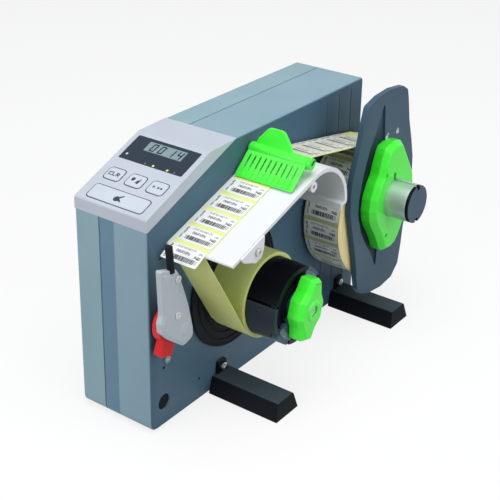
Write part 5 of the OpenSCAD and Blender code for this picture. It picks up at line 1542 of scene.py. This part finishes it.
class DISPENSER_OT_supply(PieceOperator, bpy.types.Operator):
    """Label roll, core, spindle, margin stop and lock hub"""

    bl_idname = "dispenser.supply"
    bl_label = "Label supply"

    def build(self):
        self.roll()
        self.core()
        self.axis, self.cap_r, self.cap_front, _ = round_place("spindle_cap")
        self.stop()
        self.hub()
        self.cap()
        tube = rounded_copy("spindle_tube", 0.0004)
        tube.data.materials[0] = turned_finish(
            "turned_spindle", (0.450, 0.620, 0.550), round_place("spindle_tube")[0], 4000, 0.42,
            0.55, 0.1, 0.1)
        finish_nodes("spindle_plug", "spindle_bolt")

    def stop(self):
        """Margin stop: a long plate with a sunken facet beside the hub, the hub's painted shadow
        on it, and two lock marks.
        """
        axis = self.axis
        low, high = box_ends("margin_stop")
        outline = rounded_line([axis + Vector(p) for p in STOP_LINE], 5.0, 3)
        pocket = rounded_line([axis + Vector(p) for p in STOP_POCKET], 1.0, 2)
        plate = milled("stop_plate", outline, edge_profile(high.y, low.y, 0.7), "stop",
                       "slate_plastic", through=[circle_line(axis, SPINDLE_BORE)],
                       blind=[(pocket, 2.4)], angle=25)
        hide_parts("margin_stop")
        # Thin sheet on the facet's floor that carries the painted shadow of the hub
        milled("stop_facet_shadow", inset_line(pocket, 0.3), [(0, low.y + 2.45), (0, low.y + 2.2)],
               "stop", "slate_plastic", material=self.facet_shadow_finish())
        for k, (x, z, open_by) in enumerate(LOCK_MARKS):
            at = axis + Vector((x, z))
            body = rounded_line([at + Vector(p) for p in LOCK_BODY], 0.7, 3)
            middle = at + Vector((open_by, BOW_UP))
            bow = arc(middle, BOW_OUTER, 0, 180, 9) + arc(middle, BOW_INNER, 180, -180, 9)
            for part, line in (("body", body), ("bow", bow)):
                milled(f"lock_mark_{part}_{k}", line, [(0, low.y + 0.1), (0, low.y - 0.06)],
                       "stop", "slate_plastic", material=pale_print())

    def facet_shadow_finish(self):
        """Slate darkened towards the hub: a painted shadow of the hub."""
        def pattern(t):
            _, colours = settings()
            middle, top = (place(0, 0, self.axis.y + up).z for up in (0, 96))
            away = t.math("ABSOLUTE", t.math("SUBTRACT", t.split(t.at())["Z"], middle))
            return t.mix(t.ramp(away, 0.045, top - middle), shaded(colours.slate, 0.12),
                         rgba(colours.slate))
        return solid_finish("facet_slate", pattern, 0.5, grain=1100, depth=0.1, edge=0.0,
                            gloss=0.1)

    def hub(self):
        """Lock hub with its bevelled sides, key slot and two small holes."""
        axis, front = self.axis, HUB_FACE
        back = box_ends("lock_hub")[1].y
        outline = rounded_line([axis + Vector(p) for p in HUB_LINE], HUB_ROUND, 5)
        profile = [(0.5, back), (0.1, back - 0.15), (0, back - 0.6), (0, front + 6.6),
                   (0.25, front + 5.6), (4.4, front + 0.8), (5.2, front + 0.2), (6.4, front)]
        lean = key_angle(SPINDLE_BORE)
        key = arc(axis, SPINDLE_BORE, 90 + lean, 360 - 2 * lean, 60)
        key += [axis + Vector((side * KEY_HALF, KEY_END)) for side in (1, -1)]
        holes = [(circle_line(axis + Vector(p), r, 20), 4.0) for p, r in HUB_HOLES]
        piece = milled("bevelled_hub", outline, profile, "lock", "green_plastic",
                       through=[key], blind=holes, angle=28)
        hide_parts("lock_hub")

    def cap(self):
        """Notched end cap with a dark band behind its face."""
        axis, r, front = self.axis, self.cap_r, self.cap_front
        lean = key_angle(r)
        line = []
        for turn, side in ((90, 1), (270, -1)):
            line += [axis + Vector((way * side * KEY_HALF, side * (r - NOTCH_DEPTH)))
                     for way in (1, -1)]
            line += arc(axis, r, turn + lean, 180 - 2 * lean, 36)
        band = milled("cap_band", line, [(0.1, front + 4.0), (0, front + 3.8), (0, front + 0.8),
                                         (0.3, front + 0.5)], "housing", "slate_plastic",
                      material=finish_for("black_gloss"))
        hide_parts("spindle_cap")
        milled("cap_face", inset_line(line, 0.25), edge_profile(front + 0.6, front, 0.2, 2),
               "housing", "slate_plastic")

    def roll(self):
        sizes, _ = settings()
        centre, outer, y0, y1 = round_place("label_roll")
        body_r = outer - LABEL_T - 0.05
        profile = wound_profile(round_place("roll_core")[1] + 0.05, body_r, y0, y1,
                                sizes.roll_layers, 0.30)
        side = turned("wound_label_roll", centre, profile, 200, "roll", "roll_paper")
        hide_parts("label_roll")
        skin_r = body_r + 0.02
        band = [(body_r - 0.05, y0 + 0.4), (skin_r, y0 + 0.35), (skin_r, y1 - 0.35),
                (body_r - 0.05, y1 - 0.4)]
        turned("roll_outer_liner", centre, band, 200, "roll", "liner_paper")
        _, width, pitch, _ = label_sizes()
        around = 2 * math.pi * body_r
        count = int(around / pitch)

        def on_roll(s, h):
            return centre + polar(skin_r + h, ROLL_START - math.degrees(s / body_r))

        starts = [around * k / count for k in range(count)]
        label_sheets("roll_label_sheets", "roll", starts, on_roll, y1 - (y1 - y0 - width) / 2)

    def core(self):
        centre, outer, y0, y1 = round_place("roll_core")
        inner, edge = outer - CORE_WALL, 0.3
        profile = [(inner + edge, y0), (outer - edge, y0), (outer, y0 + edge), (outer, y1 - edge),
                   (outer - edge, y1), (inner + edge, y1), (inner, y1 - edge), (inner, y0 + edge)]
        core = turned("card_core", centre, profile, 128, "roll", "core_card")
        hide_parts("roll_core")


# Corners of the arm's outline from its pivot, across and up, and how far each is rounded
ARM_LINE = ((-31.0, 68.6, 1.5), (-28.6, 25.5, 8), (-31.6, 18.5, 4.5), (-30.9, 9.0, 4),
            (-20.0, -2.5, 10), (-2.0, -16.8, 7), (12.0, -13.0, 7), (10.8, -2.0, 8),
            (5.2, 22.0, 20), (-6.6, 56.0, 12), (-10.6, 62.0, 2))
# Depths of the arm's back and front, and its bore on the post
ARM_BACK, ARM_FRONT, ARM_BORE = -20.15, -26.0, 4.2
# Post: radii of its tip, its body and its foot, the foot's thickness, and the radius at which
# its section ends at the axis
POST_TIP_R, POST_R, POST_FOOT_R, POST_FOOT_T, POST_AXIS_R = 4.0, 8.0, 10.0, 2.5, 0.02
# Clamp lever: radius of its ring, its bore, reach and width of its tail, and where that points
LEVER_R, LEVER_BORE, LEVER_TAIL_L, LEVER_TAIL_W, LEVER_ANGLE = 18.6, 8.3, 31.0, 16.5, 251.0


class DISPENSER_OT_sensor(PieceOperator, bpy.types.Operator):
    """Sensor post, arm, rod and the red clamp lever"""

    bl_idname = "dispenser.sensor"
    bl_label = "Sensor arm"

    def build(self):
        rounded_copy("sensor_rod")
        rounded_copy("arm_screws", 0.0002)
        self.pivot, _, _, back = round_place("sensor_post")
        self.grey = solid_finish("arm_grey", (0.470, 0.530, 0.580), 0.42, grain=1200,
                                 depth=0.12, uneven=0.05, edge=0.3, gloss=0.3)
        self.post(back)
        self.arm()
        self.lever()

    def post(self, back):
        tip, shoulder, foot = ARM_FRONT + 0.2, ARM_BACK + 0.15, back - POST_FOOT_T
        profile = [(POST_AXIS_R, tip), (POST_TIP_R, tip), (POST_TIP_R, shoulder),
                   (POST_R, shoulder), (POST_R, foot), (POST_FOOT_R, foot), (POST_FOOT_R, back),
                   (POST_AXIS_R, back)]
        post = turned("turned_post", self.pivot, profile, 48, "housing", "satin_aluminium")
        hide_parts("sensor_post")
        y = ARM_FRONT - 0.6
        cap = [(POST_AXIS_R, y - 0.7), (4.5, y - 0.6), (5.7, y - 0.35), (6.2, y + 0.05),
               (6.2, y + 0.5), (POST_AXIS_R, y + 0.5)]
        turned("post_cap", self.pivot, cap, 48, "housing", "satin_aluminium",
               material=self.grey)

    def arm(self):
        corners = [self.pivot + Vector((a, b)) for a, b, _ in ARM_LINE]
        outline = rounded_line(corners, [r for _, _, r in ARM_LINE])
        hole = circle_line(self.pivot, ARM_BORE, 36)
        plate = milled("arm_plate", outline, edge_profile(ARM_BACK, ARM_FRONT, 0.8), "arm",
                       "satin_aluminium", through=[hole], material=self.grey)
        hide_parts("sensor_arm")
        raised = rounded_line([p + Vector((-1.4, -0.4)) for p in inset_line(corners, 3.4)],
                              [max(r - 1.5, 0.8) for _, _, r in ARM_LINE])
        milled("arm_face", raised, [(0.0, ARM_FRONT + 0.3), (0.0, ARM_FRONT - 0.1),
                                    (0.25, ARM_FRONT - 0.4), (0.8, ARM_FRONT - 0.6)], "arm",
               "satin_aluminium", through=[hole], material=self.grey, ease=0.1)

    def lever(self):
        low, high = box_ends("clamp_lever")
        half = LEVER_TAIL_W / 2
        spread = math.degrees(math.asin(half / LEVER_R))
        along, across = polar(1, LEVER_ANGLE), polar(1, LEVER_ANGLE + 90)
        tail = rounded_line([polar(LEVER_R, LEVER_ANGLE - spread),
                             along * LEVER_TAIL_L - across * half,
                             along * LEVER_TAIL_L + across * half,
                             polar(LEVER_R, LEVER_ANGLE + spread)], [0, 3.0, 3.0, 0])
        outline = arc(self.pivot, LEVER_R, LEVER_ANGLE + spread, 360 - 2 * spread, 48)
        outline += [self.pivot + p for p in tail[1:-1]]
        lever = milled("lever_plate", outline, edge_profile(high.y, low.y, 1.1), "clamp",
                       "red_plastic", through=[circle_line(self.pivot, LEVER_BORE)])
        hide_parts("clamp_lever")


class DISPENSER_OT_electrics(PieceOperator, bpy.types.Operator):
    """Circuit boards, power inlet and power switch"""

    bl_idname = "dispenser.electrics"
    bl_label = "Electrics"

    def build(self):
        finish_nodes("main_board", "power_board")
        for node in ("power_inlet", "power_switch", "power_rocker"):
            rounded_copy(node)


# Camera: its place in the layout, its turn in degrees, its lens in millimetres and its shift
CAMERA_AT = (-642.95, -571.15, 630.57)
CAMERA_TURN = (66.6285, -0.9861, -53.8403)
CAMERA_LENS = 82.305
CAMERA_SHIFT = (-0.0070, -0.1569)
# Lamps: name, place in metres, aim in metres, width in metres, power in watts
LAMP_ROWS = (
    ("top_light", (-0.30, -0.20, 1.9), (0.0, 0.0, 0.1), 1.5, 24.0),
    ("left_light", (-1.7, 0.20, 0.7), (0.0, 0.0, 0.12), 1.2, 12.0),
    ("front_light", (0.3, -1.9, 0.8), (0.0, 0.0, 0.1), 1.6, 15.0),
)
# Half the floor's width in metres and its cells a side; its own grey, its grey to the camera
# and the share of glow there; the light of the world on the dispenser
FLOOR_HALF, FLOOR_CELLS = 4.0, 8
FLOOR_GREY, FLOOR_SEEN, FLOOR_GLOW = (0.42, 0.42, 0.42), (0.95, 0.95, 0.95), 0.8
WORLD_TINT, WORLD_POWER = (0.92, 0.96, 1.0), 0.28
WHITE = (1.0, 1.0, 1.0)


class DISPENSER_OT_stage(PieceOperator, bpy.types.Operator):
    """Floor, soft lamps, pale world and the camera"""

    bl_idname = "dispenser.stage"
    bl_label = "Stage"

    def build(self):
        self.floor()
        self.world()
        for name, at, aim, width, power in LAMP_ROWS:
            data = bpy.data.lights.new(name, "AREA")
            data.energy, data.size = power, width
            lamp = linked(name, data)
            lamp.location = at
            lamp.rotation_euler = (Vector(aim) - Vector(at)).to_track_quat("-Z", "Y").to_euler()
        self.camera()

    def camera(self):
        data = bpy.data.cameras.new("camera")
        data.sensor_width = 36.0
        data.lens = CAMERA_LENS
        data.shift_x, data.shift_y = CAMERA_SHIFT
        data.clip_start, data.clip_end = 0.05, 50.0
        camera = linked("camera", data)
        camera.location = place(*CAMERA_AT)
        camera.rotation_euler = Euler([math.radians(a) for a in CAMERA_TURN], "XYZ")
        bpy.context.scene.camera = camera
        bpy.context.scene.view_settings.view_transform = "Standard"

    def seen_share(self, t):
        """1 where a ray comes from the camera, a reflection or glass, and 0 elsewhere."""
        rays = t.add("LightPath").outputs
        both = t.math("MAXIMUM", rays["Is Camera Ray"], rays["Is Glossy Ray"])
        return t.math("MAXIMUM", both, rays["Is Transmission Ray"])

    def floor(self):
        n, cell = FLOOR_CELLS, 2 * FLOOR_HALF / FLOOR_CELLS
        verts = [(cell * i - FLOOR_HALF, cell * j - FLOOR_HALF, 0.0)
                 for j in range(n + 1) for i in range(n + 1)]
        corners = [j * (n + 1) + i for j in range(n) for i in range(n)]
        mesh = bpy.data.meshes.new("floor")
        mesh.from_pydata(verts, [], [(k, k + 1, k + n + 2, k + n + 1) for k in corners])
        floor = linked("floor", mesh)
        material = bpy.data.materials.new("pale_floor")
        t = empty_tree(material)
        seen = self.seen_share(t)
        matte = t.add("BsdfDiffuse", {"Color": t.mix(seen, rgba(FLOOR_GREY), rgba(FLOOR_SEEN))})
        glow = t.add("Emission", {"Color": rgba(WHITE), "Strength": 1.0})
        mixed = t.add("MixShader", {0: t.math("MULTIPLY", seen, FLOOR_GLOW),
                                    1: matte.outputs[0], 2: glow.outputs[0]})
        t.add("OutputMaterial", {"Surface": mixed.outputs[0]})
        mesh.materials.append(material)

    def world(self):
        world = bpy.data.worlds.new("pale_world")
        bpy.context.scene.world = world
        t = empty_tree(world)
        soft = t.add("Background", {"Color": rgba(WORLD_TINT), "Strength": WORLD_POWER})
        white = t.add("Background", {"Color": rgba(WHITE), "Strength": 1.0})
        mixed = t.add("MixShader", {0: self.seen_share(t), 1: soft.outputs[0],
                                    2: white.outputs[0]})
        t.add("OutputWorld", {"Surface": mixed.outputs[0]})


PIECES = (DISPENSER_OT_housing, DISPENSER_OT_panel, DISPENSER_OT_guide, DISPENSER_OT_comb,
          DISPENSER_OT_web, DISPENSER_OT_rewinder, DISPENSER_OT_drive, DISPENSER_OT_supply,
          DISPENSER_OT_sensor, DISPENSER_OT_electrics, DISPENSER_OT_stage)


class DISPENSER_PT_build(bpy.types.Panel):
    """Lists the sizes, the colours and the pieces"""

    bl_idname = "DISPENSER_PT_build"
    bl_label = "Label dispenser"
    bl_space_type = "VIEW_3D"
    bl_region_type = "UI"
    bl_category = "Dispenser"

    def draw(self, context):
        for group in (context.scene.dispenser_sizes, context.scene.dispenser_colours):
            box = self.layout.box()
            for name in group.__annotations__:
                box.prop(group, name)
        for operator in PIECES:
            self.layout.operator(operator.bl_idname)


CLASSES = (DispenserSizes, DispenserColours, *PIECES, DISPENSER_PT_build)


def register():
    for cls in CLASSES:
        bpy.utils.register_class(cls)
    bpy.types.Scene.dispenser_sizes = bpy.props.PointerProperty(type=DispenserSizes)
    bpy.types.Scene.dispenser_colours = bpy.props.PointerProperty(type=DispenserColours)


def unregister():
    del bpy.types.Scene.dispenser_colours
    del bpy.types.Scene.dispenser_sizes
    for cls in reversed(CLASSES):
        bpy.utils.unregister_class(cls)


def main():
    register()
    for operator in PIECES:
        group, name = operator.bl_idname.split(".")
        getattr(getattr(bpy.ops, group), name)()
    bpy.context.view_layer.update()


if __name__ == "__main__":
    main()
